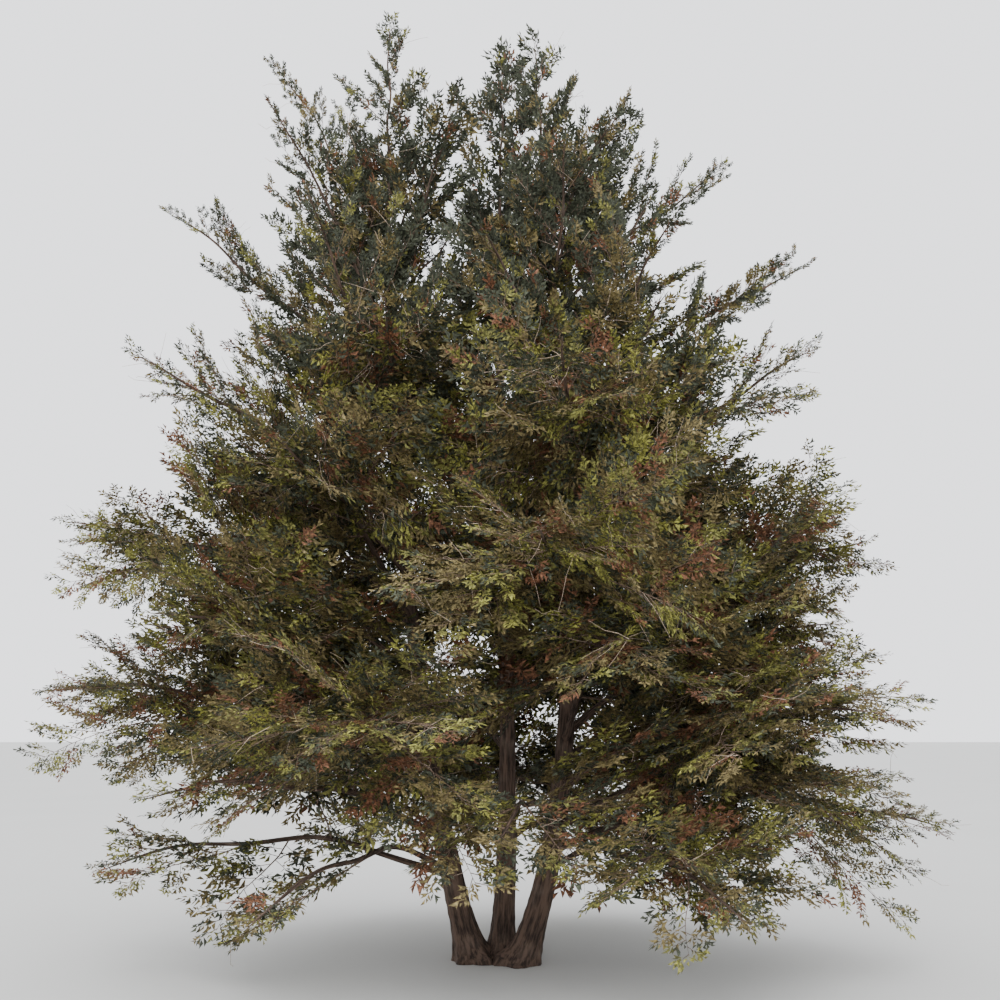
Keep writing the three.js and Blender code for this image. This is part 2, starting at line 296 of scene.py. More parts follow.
STEMS = (
    stem(
        "stem_left",
        ((-0.19, 0.04, 0), (-0.66, 0.07, 1.5), (-0.9, 0.13, 4.2), (-0.925, 0.1, 6.25)),
        girth=0.094,
        top=7.5,
    ),
    stem(
        "stem_centre",
        ((0.01, 0.12, 0), (0.14, 0.33, 1.7), (-0.05, 0.42, 4.3), (0, 0.33, 6.15)),
        girth=0.086,
        top=7.34,
    ),
    stem(
        "stem_right",
        ((0.14, -0.06, 0), (0.78, -0.19, 1.5), (0.42, -0.15, 4.4), (0.34, -0.12, 6.05)),
        girth=0.092,
        top=7.2,
    ),
)


class Storey(Enum):
    """A part of the crown that is joined into pieces of its own."""

    SKIRT = "skirt"
    LOW = "low"
    MIDDLE = "middle"
    TOP = "top"


class LimbKind(Enum):
    """What a limb grows from, with the share of its length where its first frond leaves."""

    BOUGH = 0.02
    TRUNK = 0.22
    LEADER = 0.04


@dataclass(frozen=True)
class Tier:
    """A ring of boughs. Reach and tip are those to the left, to the right and in depth."""

    name: str
    storey: Storey
    spread: float  # length of its longest fronds
    lift: float  # how far their headings are raised
    limb: float  # radius of its limbs
    fronds: int
    boughs: int = 0
    turn: float = 0  # azimuth of its first bough
    leaves: float = 0  # height where its boughs leave the stems
    rise: float = 0  # how far that height plays
    reach: tuple[float, float, float] = (0, 0, 0)
    tip: tuple[float, float, float] = (0, 0, 0)  # heights
    arch: float = 0
    bare: float = 0  # share of a limb before its mass starts
    leafy: float = 1  # share of its fronds that have grown
    axis_end: float = AXIS_END
    taper: float = 1  # how far the fronds narrow from the widest to those at the tip

    def halfway(self, above: "Tier") -> "Tier":
        """The ring of finer boughs between this tier and the next, turned by half a step.

        Args:
            above: The next tier.

        Returns:
            The tier between them.
        """
        half = {
            name: mix(getattr(self, name), getattr(above, name), 0.5)
            for name in ("spread", "lift", "limb", "leaves", "rise", "arch")
        }
        reach = tuple(
            BETWEEN_REACH[self.storey] * mix(*pair, 0.5) for pair in zip(self.reach, above.reach)
        )
        return replace(
            self,
            name=f"{self.name}_{above.name}",
            turn=self.turn + 180 / self.boughs,
            reach=reach,
            tip=tuple(mix(*pair, 0.5) for pair in zip(self.tip, above.tip)),
            bare=min(self.bare, BETWEEN_BARE),
            leafy=BETWEEN_LEAFY[self.storey],
            **half,
        )


BETWEEN_LEAFY = {Storey.SKIRT: 1, Storey.LOW: 1, Storey.MIDDLE: 0.9, Storey.TOP: 0.6}
BETWEEN_REACH = {Storey.SKIRT: 0.88, Storey.LOW: 0.88, Storey.MIDDLE: 0.76, Storey.TOP: 0.66}
TIERS = (
    Tier(
        "skirt", Storey.SKIRT, spread=1.12, lift=-0.08, limb=0.025, fronds=9, boughs=6, turn=0,
        leaves=0.72, rise=0.3, reach=(2.78, 3.44, 2.6), tip=(0.64, 0.88, 0.56), arch=0.1, bare=0.34,
    ),
    Tier(
        "lower", Storey.LOW, spread=1.28, lift=-0.04, limb=0.029, fronds=9, boughs=5, turn=36,
        leaves=1.25, rise=0.4, reach=(3.28, 3.0, 2.85), tip=(1.9, 1.84, 1.5), arch=0.1, bare=0.35,
    ),
    Tier(
        "middle", Storey.MIDDLE, spread=1.28, lift=0.02, limb=0.027, fronds=9, boughs=5, turn=-18,
        leaves=2.0, rise=0.45, reach=(3.22, 2.68, 2.75), tip=(3.08, 2.95, 2.65), arch=0.09, bare=0.35,
    ),
    Tier(
        "upper", Storey.MIDDLE, spread=1.15, lift=0.08, limb=0.023, fronds=9, boughs=5, turn=60,
        leaves=2.75, rise=0.42, reach=(2.72, 2.48, 2.4), tip=(4.3, 4.46, 3.85), arch=0.08,
    ),
    Tier(
        "shoulder", Storey.TOP, spread=0.92, lift=0.14, limb=0.019, fronds=8, boughs=6, turn=0,
        leaves=3.7, rise=0.38, reach=(2.66, 2.55, 1.9), tip=(5.76, 5.24, 4.75), arch=0.07, leafy=0.9,
    ),
    Tier(
        "plume", Storey.TOP, spread=0.7, lift=0.18, limb=0.016, fronds=8, boughs=5, turn=0,
        leaves=4.7, rise=0.3, reach=(2.15, 1.97, 1.3), tip=(6.4, 6.22, 5.6), arch=0.06, leafy=0.9,
    ),
    Tier(
        "crest", Storey.TOP, spread=0.54, lift=0.2, limb=0.014, fronds=7, boughs=5, turn=36,
        leaves=5.35, rise=0.3, reach=(1.815, 1.45, 0.9), tip=(7.01, 6.3, 6.25), arch=0.06,
    ),
)
LEADER = Tier("leader", Storey.TOP, spread=0.52, lift=0.16, limb=STEM_TIP_RADIUS, fronds=8)
STEM_SHOOTS = Tier(
    "shoots", Storey.TOP, spread=0.7, lift=0.2, limb=STEM_TIP_RADIUS, fronds=24, leafy=0.8, axis_end=0.98,
    taper=0.6,
)
SHOOTS_START = 0.33  # where on the stem's curve its own short shoots begin
SHOOTS_SEED = 20
PROFILE_HEIGHTS = [mean(tier.tip) for tier in TIERS]
PROFILE_REACHES = [mean(tier.reach) for tier in TIERS]


@dataclass(frozen=True)
class Limb:
    """A bough with the stem of its mass, or a leading shoot, on one curve out to a tip of the crown."""

    name: str
    seed: int
    kind: LimbKind
    tier: Tier
    curve: Curve
    radius: float
    bare: float

    def sway(self, t: float) -> Vector:
        """How far the wood strays from its curve, nothing at either end or on a stem.

        Args:
            t: Where on the curve.

        Returns:
            The way from the curve to the middle of the wood.
        """
        if self.tier is STEM_SHOOTS:
            return Vector()
        chord = self.curve.points[-1] - self.curve.points[0]
        turned = Turned.about(chord.normalized(), self.reference())
        chance = Chance(SWAY_SEED + self.seed)
        swings = [math.sin(FULL_TURN * (waves * t + chance.share())) for waves in LIMB_WAVES]
        size = SWAY * chord.length * math.sin(math.pi * min(max(t, 0), 1))
        return (turned.side * swings[0] + turned.over * swings[1]) * size

    def reference(self) -> Vector:
        """The direction that the limb's frames are square to."""
        return RIGHT if self.kind is LimbKind.LEADER else UP

    def point(self, t: float) -> Vector:
        """The middle of the wood at t."""
        return self.curve.point(t) + self.sway(t)

    def turned(self, t: float) -> Turned:
        """The frame at t."""
        heading = (self.point(t + HEADING_STEP) - self.point(t - HEADING_STEP)).normalized()
        return Turned.about(heading, self.reference())

    def wood(self, t: float) -> float:
        """The radius of the wood, which thins fast past the last frond."""
        past = min(max((t - AXIS_END) / (1 - AXIS_END), 0), 1)
        return self.radius * (1 - BOUGH_THINNING * t) * (1 - TIP_THINNING * past)

    def mass(self) -> str:
        """The name of its mass's node."""
        return f"foliage_{self.name}"

    def nodes(self) -> list[str]:
        """The names of the nodes that its wood stands for, none for a bough between two tiers."""
        return [name for name in (self.mass(), f"bough_{self.name}") if name in frame["nodes"]]


def towards(outward: Vector, sizes: tuple[float, float, float]) -> float:
    """A size between those to the left, to the right and in depth.

    Args:
        outward: The level direction that the bough points in.
        sizes: The three sizes.

    Returns:
        The size in that direction.
    """
    left, right, depth = sizes
    return mix(mix(left, right, (1 + outward.x) / 2), depth, outward.y**2)


def plan_bough(tier: Tier, seed: int, place: int) -> Limb:
    """One bough by the source's rule.

    Args:
        tier: The ring that it belongs to.
        seed: Of its numbers.
        place: Its number in the ring.

    Returns:
        The bough, with the stem of its mass.
    """
    chance = Chance(seed)
    azimuth = math.radians(tier.turn + 360 * place / tier.boughs + AZIMUTH_PLAY * chance.swing())
    outward = Vector((math.cos(azimuth), math.sin(azimuth), 0))
    height = tier.leaves + tier.rise / 2 * chance.swing()
    parent = max(
        STEMS, key=lambda one: one.curve.point(one.curve.share_at_height(height)).dot(outward)
    )
    share = parent.curve.share_at_height(height)
    root = parent.curve.point(share)
    reach = towards(outward, tier.reach) * (1 + REACH_PLAY * chance.swing())
    tip = CROWN_MIDDLE + outward * reach + UP * towards(outward, tier.tip)
    middle = root.lerp(tip, 0.5) + UP * (2 * tier.arch * (tip - root).length)
    return Limb(
        name=f"{tier.name}_{place + 1}",
        seed=seed,
        kind=LimbKind.BOUGH if tier.bare else LimbKind.TRUNK,
        tier=tier,
        curve=Curve((root, middle, tip)),
        radius=min(tier.limb, STEM_SHARE * parent.radius(share, 0)),
        bare=tier.bare,
    )


def plan_leader(place: int) -> Limb:
    """The leading shoot that goes on from the tip of a stem's wood.

    Args:
        place: The stem's number.

    Returns:
        The shoot as a limb.
    """
    parent = STEMS[place]
    root = parent.curve.point(1)
    heading = parent.curve.heading(1)
    tip = root + heading * ((parent.top - root.z) / heading.z)
    return Limb(
        name=f"leader_{parent.name.split('_')[1]}",
        seed=LEADER_SEED + place,
        kind=LimbKind.LEADER,
        tier=LEADER,
        curve=Curve((root, root.lerp(tip, 0.5), tip)),
        radius=STEM_TIP_RADIUS,
        bare=0,
    )


def plan_stem_shoots(place: int) -> Limb:
    """The upper part of a stem as a limb that bears short fronds all round.

    Args:
        place: The stem's number.

    Returns:
        The limb, whose wood is the stem's own.
    """
    return Limb(
        name=f"shoots_{place}",
        seed=LEADER_SEED + SHOOTS_SEED + place,
        kind=LimbKind.LEADER,
        tier=STEM_SHOOTS,
        curve=STEMS[place].curve,
        radius=STEM_TIP_RADIUS,
        bare=SHOOTS_START,
    )


def plan_limbs() -> list[Limb]:
    """Plans every limb of the tree.

    Returns:
        The source's own boughs, those between its tiers, and the leading shoots.
    """
    own = [
        plan_bough(tier, TIER_SEED * level + place, place)
        for level, tier in enumerate(TIERS)
        for place in range(tier.boughs)
    ]
    between = [
        plan_bough(tier.halfway(above), BETWEEN_TIER_SEED + TIER_SEED * level + place, place)
        for level, (tier, above) in enumerate(zip(TIERS, TIERS[1:]))
        for place in range(tier.boughs)
    ]
    return own + between + [plan_leader(place) for place in range(len(STEMS))]


@dataclass(frozen=True)
class Shoot:
    """A twig, twiglet or spray from its root: straight ahead at first, and bent little by little."""

    root: Vector
    turned: Turned
    length: float
    radius: float = 0
    bend: float = 0
    sway: float = 0

    def point(self, share: float) -> Vector:
        """The point at a share of its length.

        Args:
            share: From 0 to 1.

        Returns:
            The point.
        """
        swayed = self.sway * math.sin(FROND_WAVES * FULL_TURN * share)
        away = self.turned.along * share + self.turned.side * swayed + UP * (self.bend * share * share)
        return self.root + away * self.length

    def frame(self, share: float) -> Turned:
        """Its direction and sides at a share of its length.

        Args:
            share: From 0 to 1.

        Returns:
            The frame there.
        """
        along = (self.turned.along + UP * (2 * share * self.bend)).normalized()
        side = (self.turned.side - along * self.turned.side.dot(along)).normalized()
        return Turned(along, side, side.cross(along))


def side_shoot(
    root: Vector, parent: Turned, hand: int, angle: float, rise: float, lift: float
) -> tuple[Vector, Turned]:
    """The heading of a shoot that leaves its parent's side.

    Args:
        root: Where it leaves.
        parent: The parent's frame there.
        hand: 1 or -1, for the side that it leaves on.
        angle: Between it and the parent, in radians.
        rise: How far it turns out of the parent's flat, in radians.
        lift: How far its heading is raised.

    Returns:
        Its root and its own frame, whose side lies in the parent's flat.
    """
    outward = parent.side * (hand * math.cos(rise)) + parent.over * math.sin(rise)
    heading = parent.along * math.cos(angle) + outward * math.sin(angle) + UP * lift
    return root, Turned.about(heading.normalized(), parent.over)


class Leaf(Enum):
    """The kinds of spray, by the colour that each is dealt."""

    DEEP = "deep_green"
    OLIVE = "olive"
    FRESH = "yellow_green"
    DULL = "dull_brown"
    RUST = "rust"


class Twig(Enum):
    """The kinds of twig."""

    LEAFY = "leafy_twigs"
    BARE = "bare_twigs"


# How many sprays in ten are of each kind in a storey, without the dead ones.
SHADE_PARTS = 10
# Below the top the yellow-green shares are partly painted highlights.
SHADES = {
    Storey.SKIRT: {Leaf.DULL: 3.8, Leaf.DEEP: 1.8, Leaf.OLIVE: 2.2, Leaf.FRESH: 2.2},
    Storey.LOW: {Leaf.DULL: 3.9, Leaf.DEEP: 1.7, Leaf.OLIVE: 2.1, Leaf.FRESH: 2.3},
    Storey.MIDDLE: {Leaf.DULL: 3.8, Leaf.DEEP: 1.5, Leaf.OLIVE: 2.0, Leaf.FRESH: 2.7},
    # The top's large deep green share is partly painted shade, as of a crown lit from behind.
    Storey.TOP: {Leaf.DULL: 2.2, Leaf.DEEP: 5.2, Leaf.OLIVE: 1.7, Leaf.FRESH: 0.9},
}


@dataclass
class Growth:
    """What grows in the crown, gathered by kind and storey."""

    sprays: dict[tuple[Leaf, Storey], list[Shoot]] = field(default_factory=lambda: defaultdict(list))
    twigs: dict[tuple[Twig, Storey], list[tuple[Shoot, int]]] = field(
        default_factory=lambda: defaultdict(list)
    )


@dataclass(frozen=True)
class Habit:
    """How the growth of a storey branches."""

    finer: int  # fronds for each one of the source
    flatness: float  # how little a frond's blade turns, against the source's roll
    bend: float  # of fronds and twiglets, up or down
    reach: float  # of a twiglet against the frond that bears it
    angle: tuple[float, float]  # of twiglets, from the frond's root to its tip
    spacing: float  # of twiglets
    spray: tuple[float, float]  # lengths
    pitch: float  # of the sprays on a twiglet
    lean: tuple[float, float]  # of the sprays, from the twiglet's root to its tip
    lift: float  # of twiglets and sprays
    roll: float  # how far sprays turn about their own lines
    bare: float  # share of the twiglets
    dead: float  # share of the sprays in a patch of dead ones


HABITS = {
    Storey.SKIRT: Habit(
        finer=2, flatness=0.4, bend=-0.02, reach=0.34, angle=(64, 38), spacing=0.044,
        spray=(0.050, 0.080), pitch=0.024, lean=(42, 20), lift=0.14, roll=28, bare=0.12, dead=0.9,
    ),
    Storey.LOW: Habit(
        finer=3, flatness=0.4, bend=-0.03, reach=0.34, angle=(64, 38), spacing=0.037,
        spray=(0.048, 0.078), pitch=0.024, lean=(42, 20), lift=0.1, roll=28, bare=0.14, dead=0.9,
    ),
    Storey.MIDDLE: Habit(
        finer=3, flatness=0.55, bend=0, reach=0.29, angle=(58, 34), spacing=0.042,
        spray=(0.048, 0.077), pitch=0.023, lean=(40, 20), lift=0.06, roll=34, bare=0.17, dead=0.8,
    ),
    Storey.TOP: Habit(
        finer=2, flatness=0.9, bend=0.12, reach=0.17, angle=(46, 30), spacing=0.034,
        spray=(0.040, 0.057), pitch=0.0098, lean=(22, 10), lift=0.1, roll=60, bare=0.06, dead=0.3,
    ),
}


@dataclass
class Crown:
    """Grows fronds, twiglets and sprays on the limbs."""

    limbs: list[Limb]
    growth: Growth = field(default_factory=Growth)
    judged: float = 0.6  # where on a frond or a twiglet its place in the crown is judged
    frond_spans: int = 5
    twiglet_spans: int = 1
    bare_spans: int = 3
    least_twiglets: int = 3  # on a frond
    twiglet_run: tuple[float, float] = (0.08, 0.98)  # where on the frond they leave
    twiglet_play: float = 0.25
    twiglet_rise: float = 24
    twiglet_radius: float = 0.0028
    twiglet_least: float = 0.06  # length
    bare_angle: float = 58
    bare_play: float = 0.4
    bare_rise: float = 50
    bare_lift: float = 0.1
    bare_length: tuple[float, float] = (0.1, 0.28)
    bare_radius: float = 0.002
    bare_bend: float = 0.25
    spray_run: tuple[float, float] = (0.15, 0.95)  # where on the twiglet they leave
    spray_drift: float = 0.8  # how far towards the next one
    spray_play: float = 16
    spray_rise: float = 22
    outer_size: float = 0.76  # how large the outermost sprays are, against their habit
    inner_growth: float = 1.25  # how much larger they are at the middle of the crown
    depth_slope: float = 1.4  # how fast the crown gets deep from its outside inwards
    inner_start: float = 0.8  # the depth where the low growth starts to thin inwards
    inner_top: float = 1.9  # height up to which it does
    inner_back: float = 0.15  # and how far back
    upper_start: float = 3.7  # height above which the growth thins inwards a little
    upper_thin: float = 0.22
    thin_skirt: float = 0.2  # shares of the fronds that are left
    thin_window: float = 0.27
    thin_hem: float = 0.35
    thin_shoulder: float = 0.72
    hem: float = 0.45  # below it the growth is thin all round
    dead_patch: float = 6.5  # patches of dead sprays to a metre
    dead_limit: float = 0.34  # noise above it is a dead patch
    # The top's darker shades, which the sprays turn to with height, are partly painted shade.
    lofty: tuple[float, float] = (3.0, 5.5)  # heights between which the shades turn to those of the top
    shade_patch: float = 4.2  # patches of a shade to a metre
    patch_middle: float = 0.5
    patch_swing: float = 1.4
    patch_weight: float = 0.35  # what the patch, the twiglet and the spray itself add to a shade's draw
    twiglet_weight: float = 0.55
    spray_weight: float = 0.3
    draw_shift: float = 0.1
    draw_end: float = 0.999
    # Deep in the crown more sprays are brown and dark green and fewer yellow-green: partly painted shade.
    inner_shade: float = 0.15  # how much lower the draw is at the middle of the crown

    def grow(self) -> Growth:
        """Grows every limb's foliage.

        Returns:
            The twigs and sprays by kind and storey.
        """
        for limb in self.limbs:
            fronds = self.fronds(limb)
            for place, frond in enumerate(fronds):
                chance = Chance(TWIGLET_SEED + FROND_SEED * limb.seed + place)
                kept = chance.share() < limb.tier.leafy * self.leafiness(frond.point(self.judged))
                if kept or place == len(fronds) - 1:
                    self.growth.twigs[Twig.LEAFY, limb.tier.storey].append((frond, self.frond_spans))
                    self.grow_frond(limb, frond, chance)
        return self.growth

    def fronds(self, limb: Limb) -> list[Shoot]:
        """The side fronds of a limb and the frond at its end.

        Args:
            limb: The limb.

        Returns:
            The fronds, on alternate hands from the first to the last.
        """
        habit = HABITS[limb.tier.storey]
        last = (limb.tier.fronds - 1) * habit.finer
        fronds = [self.side_frond(limb, place, last) for place in range(last + 1)]
        end = limb.tier.axis_end
        turned = limb.turned(end).rolled(habit.flatness * Chance(END_SEED + limb.seed).roll())
        root = limb.point(end)
        length = (limb.point(1) - root).length
        return [*fronds, Shoot(root, turned, length, limb.wood(end) / 2, 0)]

    def side_frond(self, limb: Limb, place: int, last: int) -> Shoot:
        """One side frond, either the source's own or one between two of them.

        Args:
            limb: The limb that bears it.
            place: Its number on the limb.
            last: The number of the last one.

        Returns:
            The frond.
        """
        habit = HABITS[limb.tier.storey]
        number, between = divmod(place, habit.finer)
        own = between == 0
        seed = FROND_SEED * limb.seed + number
        chance = Chance(seed if own else BETWEEN_SEED + FROND_SEED * limb.seed + place)
        share = mix(limb.kind.value, LAST_FROND, place / last)
        t = mix(limb.bare, limb.tier.axis_end, share)
        width = fan_width(share * limb.tier.taper)
        length = limb.tier.spread * width * (1 + FROND_PLAY * chance.swing())
        if limb.kind is LimbKind.LEADER:
            rise = GOLDEN_ANGLE * (number if own else place)
        else:
            rise = FROND_RISE * chance.swing()
        root, turned = side_shoot(
            limb.point(t),
            limb.turned(t),
            hand_of(number + between),
            math.radians(mix(*FROND_ANGLE, share)),
            math.radians(rise),
            limb.tier.lift,
        )
        return Shoot(
            root,
            turned.rolled(habit.flatness * chance.roll()),
            length * (1 if own else BETWEEN_LENGTH) - habit.spray[0] / 2,
            FROND_TWIG * limb.wood(t),
            habit.bend,
            FROND_SWAY * chance.swing(),
        )

    def grow_frond(self, limb: Limb, frond: Shoot, chance: Chance) -> None:
        """The twiglets of one frond, each with its sprays.

        Args:
            limb: The limb that bears the frond.
            frond: The frond.
            chance: The series that its twiglets draw from.
        """
        storey = limb.tier.storey
        habit = HABITS[storey]
        count = max(self.least_twiglets, round(frond.length / habit.spacing))
        for place in range(count):
            share = mix(*self.twiglet_run, place / (count - 1))
            if chance.share() > self.density(frond.point(share)):
                continue
            play = 1 + self.twiglet_play * chance.swing()
            reach = habit.reach * frond.length * fan_width(share) * play
            root, turned = side_shoot(
                frond.point(share),
                frond.frame(share),
                hand_of(place),
                math.radians(mix(*habit.angle, share)),
                math.radians(self.twiglet_rise * chance.swing()),
                habit.lift,
            )
            length = max(reach, self.twiglet_least)
            twiglet = Shoot(root, turned, length, self.twiglet_radius, habit.bend)
            if chance.share() < habit.bare:
                bare = self.bare_twig(frond, share, chance)
                self.growth.twigs[Twig.BARE, storey].append((bare, self.bare_spans))
            else:
                self.growth.twigs[Twig.LEAFY, storey].append((twiglet, self.twiglet_spans))
                self.grow_twiglet(limb, twiglet, chance)

    def bare_twig(self, frond: Shoot, share: float, chance: Chance) -> Shoot:
        """A leafless twig in place of a twiglet.

        Args:
            frond: The frond that bears it.
            share: Where on the frond.
            chance: The series that it draws from.

        Returns:
            The twig, which curves more than a leafy one.
        """
        root, turned = side_shoot(
            frond.point(share),
            frond.frame(share),
            chance.hand(),
            math.radians(self.bare_angle) * (1 + self.bare_play * chance.swing()),
            math.radians(self.bare_rise * chance.swing()),
            self.bare_lift * chance.swing(),
        )
        length = mix(*self.bare_length, chance.share())
        return Shoot(root, turned, length, self.bare_radius, self.bare_bend * chance.swing())

    def grow_twiglet(self, limb: Limb, twiglet: Shoot, chance: Chance) -> None:
        """The sprays on both hands of one twiglet and at its tip.

        Args:
            limb: The limb that bears the frond.
            twiglet: The twiglet.
            chance: The series that its sprays draw from.
        """
        storey = limb.tier.storey
        habit = HABITS[storey]
        size = self.outer_size + self.inner_growth * self.depth(twiglet.root)
        count = max(1, round(twiglet.length / (habit.pitch * size)))
        dead = noise.noise(twiglet.point(self.judged) * self.dead_patch) > self.dead_limit
        shades = self.shades(twiglet.root.z, storey, chance)
        tint = chance.share()
        for place in range(count + 1):
            tip = place == count
            drift = 0 if tip else self.spray_drift * chance.share()
            share = 1 if tip else mix(*self.spray_run, (place + drift) / count)
            angle = 0.0 if tip else math.radians(mix(*habit.lean, share))
            root, turned = side_shoot(
                twiglet.point(share),
                twiglet.frame(share),
                hand_of(place),
                angle + math.radians(self.spray_play) * chance.swing(),
                math.radians(self.spray_rise * chance.swing()),
                habit.lift,
            )
            turned = turned.rolled(math.radians(habit.roll * chance.swing()))
            spray = Shoot(root, turned, size * mix(*habit.spray, chance.share()))
            draw = self.twiglet_weight * tint + self.spray_weight * chance.share() - self.draw_shift
            kind = self.shade(spray, shades, draw)
            if dead and chance.share() < habit.dead:
                kind = Leaf.RUST
            if spray.point(1).z > GROUND_GAP:
                self.growth.sprays[kind, storey].append(spray)

    def leafiness(self, place: Vector) -> float:
        """The share of the fronds that is left at a place, fewer where light comes through.

        Args:
            place: The place.

        Returns:
            From 0 to 1.
        """
        left, right, top = WINDOW
        share = 1.0
        if place.z < SKIRT_TOP - SKIRT_SLOPE * max(place.x - left, 0):
            share *= self.thin_skirt
        if left < place.x < right and place.z < top and place.y < 0:
            share *= self.thin_window
        if place.z < self.hem:
            share *= self.thin_hem
        if place.x > SHOULDER[0] and place.z > SHOULDER[1]:
            share *= self.thin_shoulder
        return share

    def density(self, place: Vector) -> float:
        """The share of the twiglets that is left, fewer inside the lowest and the highest growth.

        Args:
            place: The place.

        Returns:
            From 0 to 1.
        """
        depth = self.depth(place)
        if place.z > self.upper_start:
            return 1 - self.upper_thin * depth
        if place.z > self.inner_top or place.y > self.inner_back:
            return 1.0
        return 1 - max(depth - self.inner_start, 0) / (1 - self.inner_start)

    def depth(self, place: Vector) -> float:
        """How deep in the crown a place lies.

        Args:
            place: The place.

        Returns:
            From 0 at the outside to 1 at the middle.
        """
        reach = np.interp(place.z, PROFILE_HEIGHTS, PROFILE_REACHES)
        out = (place - CROWN_MIDDLE).xy.length / reach
        return min(max(self.depth_slope * (1 - out), 0), 1)

    def shades(self, height: float, storey: Storey, chance: Chance) -> dict[Leaf, float]:
        """The colours that a twiglet's sprays are dealt, which turn to those of the top with height.

        Args:
            height: Where the twiglet leaves its frond.
            storey: Where in the crown it grows.
            chance: The series that it draws from.

        Returns:
            The share of each in ten.
        """
        # The higher the twiglet, the likelier the top's darker shades, which are partly painted shade.
        low, high = self.lofty
        if chance.share() < (height - low) / (high - low):
            return SHADES[Storey.TOP]
        return SHADES[Storey.MIDDLE if storey is Storey.TOP else storey]

    def shade(self, spray: Shoot, shades: dict[Leaf, float], draw: float) -> Leaf:
        """Deals a spray its colour, mostly that of its neighbours.

        Args:
            spray: The spray.
            shades: The share of each colour in ten.
            draw: How far along the shares it is drawn, before its patch of the crown tells.

        Returns:
            Its kind.
        """
        patch = self.patch_middle + self.patch_swing * noise.noise(spray.root * self.shade_patch)
        share = min(max(self.patch_weight * patch + draw, 0), self.draw_end)
        # The draw falls deep in the crown, away from yellow-green: partly painted shade.
        drawn = SHADE_PARTS * share * (1 - self.inner_shade * self.depth(spray.root))
        for kind, parts in shades.items():
            drawn -= parts
            if drawn < 0:
                return kind
        return kind


@dataclass(frozen=True)
class Loft:
    """A closed skin over rings, with the grain's own coordinates on its vertices."""

    middles: np.ndarray
    sides: np.ndarray
    overs: np.ndarray
    radii: np.ndarray  # for each ring and each place round it

    def add_to(self, mesh: bmesh.types.BMesh) -> None:
        """Adds the skin to a mesh.

        Args:
            mesh: The mesh, which has a vertex layer named grain.
        """
        rings, places = self.radii.shape
        angles = FULL_TURN * np.arange(places) / places
        sine, cosine = np.sin(angles), np.cos(angles)
        round_it = self.sides[:, None] * sine[None, :, None] + self.overs[:, None] * cosine[None, :, None]
        points = self.middles[:, None] + round_it * self.radii[..., None]
        steps = np.linalg.norm(np.diff(self.middles, axis=0), axis=1)
        run = np.concatenate(([0.0], np.cumsum(steps)))
        girth = self.radii.mean(axis=1)
        grain = mesh.verts.layers.float_vector["grain"]
        rows = []
        for ring in range(rings):
            row = []
            for place in range(places):
                vertex = mesh.verts.new(points[ring, place])
                vertex[grain] = (sine[place] * girth[ring], cosine[place] * girth[ring], run[ring])
                row.append(vertex)
            rows.append(row)
        for lower, upper in zip(rows, rows[1:]):
            for place in range(places):
                after = (place + 1) % places
                mesh.faces.new((lower[place], lower[after], upper[after], upper[place]))
        mesh.faces.new(rows[0])
        mesh.faces.new(rows[-1])


def finish_mesh(mesh: bmesh.types.BMesh, name: str, material: bpy.types.Material) -> bpy.types.Object:
    """Turns a mesh under way into a piece of the scene.

    Args:
        mesh: The mesh, which is freed.
        name: Of the piece.
        material: Its finish.

    Returns:
        The piece's object, at the origin.
    """
    bmesh.ops.recalc_face_normals(mesh, faces=mesh.faces)
    data = bpy.data.meshes.new(name)
    mesh.to_mesh(data)
    mesh.free()
    data.materials.append(material)
    data.shade_smooth()
    piece = bpy.data.objects.new(name, data)
    bpy.context.scene.collection.objects.link(piece)
    return piece


def new_bark_mesh() -> bmesh.types.BMesh:
    """Starts a mesh whose vertices carry the grain's coordinates.

    Returns:
        The empty mesh.
    """
    mesh = bmesh.new()
    mesh.verts.layers.float_vector.new("grain")
    return mesh


STRIP_STRETCH = 0.09  # how slowly the bark's strips change along the grain, against round it
FLAKE_STRETCH = 0.3
GROOVE_SLOPE = 2.6
FLAKES = 2.4  # to the width of a strip
FLAKE_HEIGHT = 0.55
FIBRE_HEIGHT = 0.35  # of the fibres in the finish, against its strips


def strips(grain: Vector, width: float) -> float:
    """The relief of bark that peels in long strips.

    Args:
        grain: Round the limb, and along it.
        width: Of a strip.

    Returns:
        From about -1 in a groove to about 0.6 on a strip.
    """
    place = Vector((grain.x, grain.y, STRIP_STRETCH * grain.z)) / width
    groove = 1 - GROOVE_SLOPE * abs(noise.noise(place))
    flake = noise.noise(Vector((grain.x, grain.y, FLAKE_STRETCH * grain.z)) * (FLAKES / width))
    return FLAKE_HEIGHT * flake - max(groove, 0) ** 2


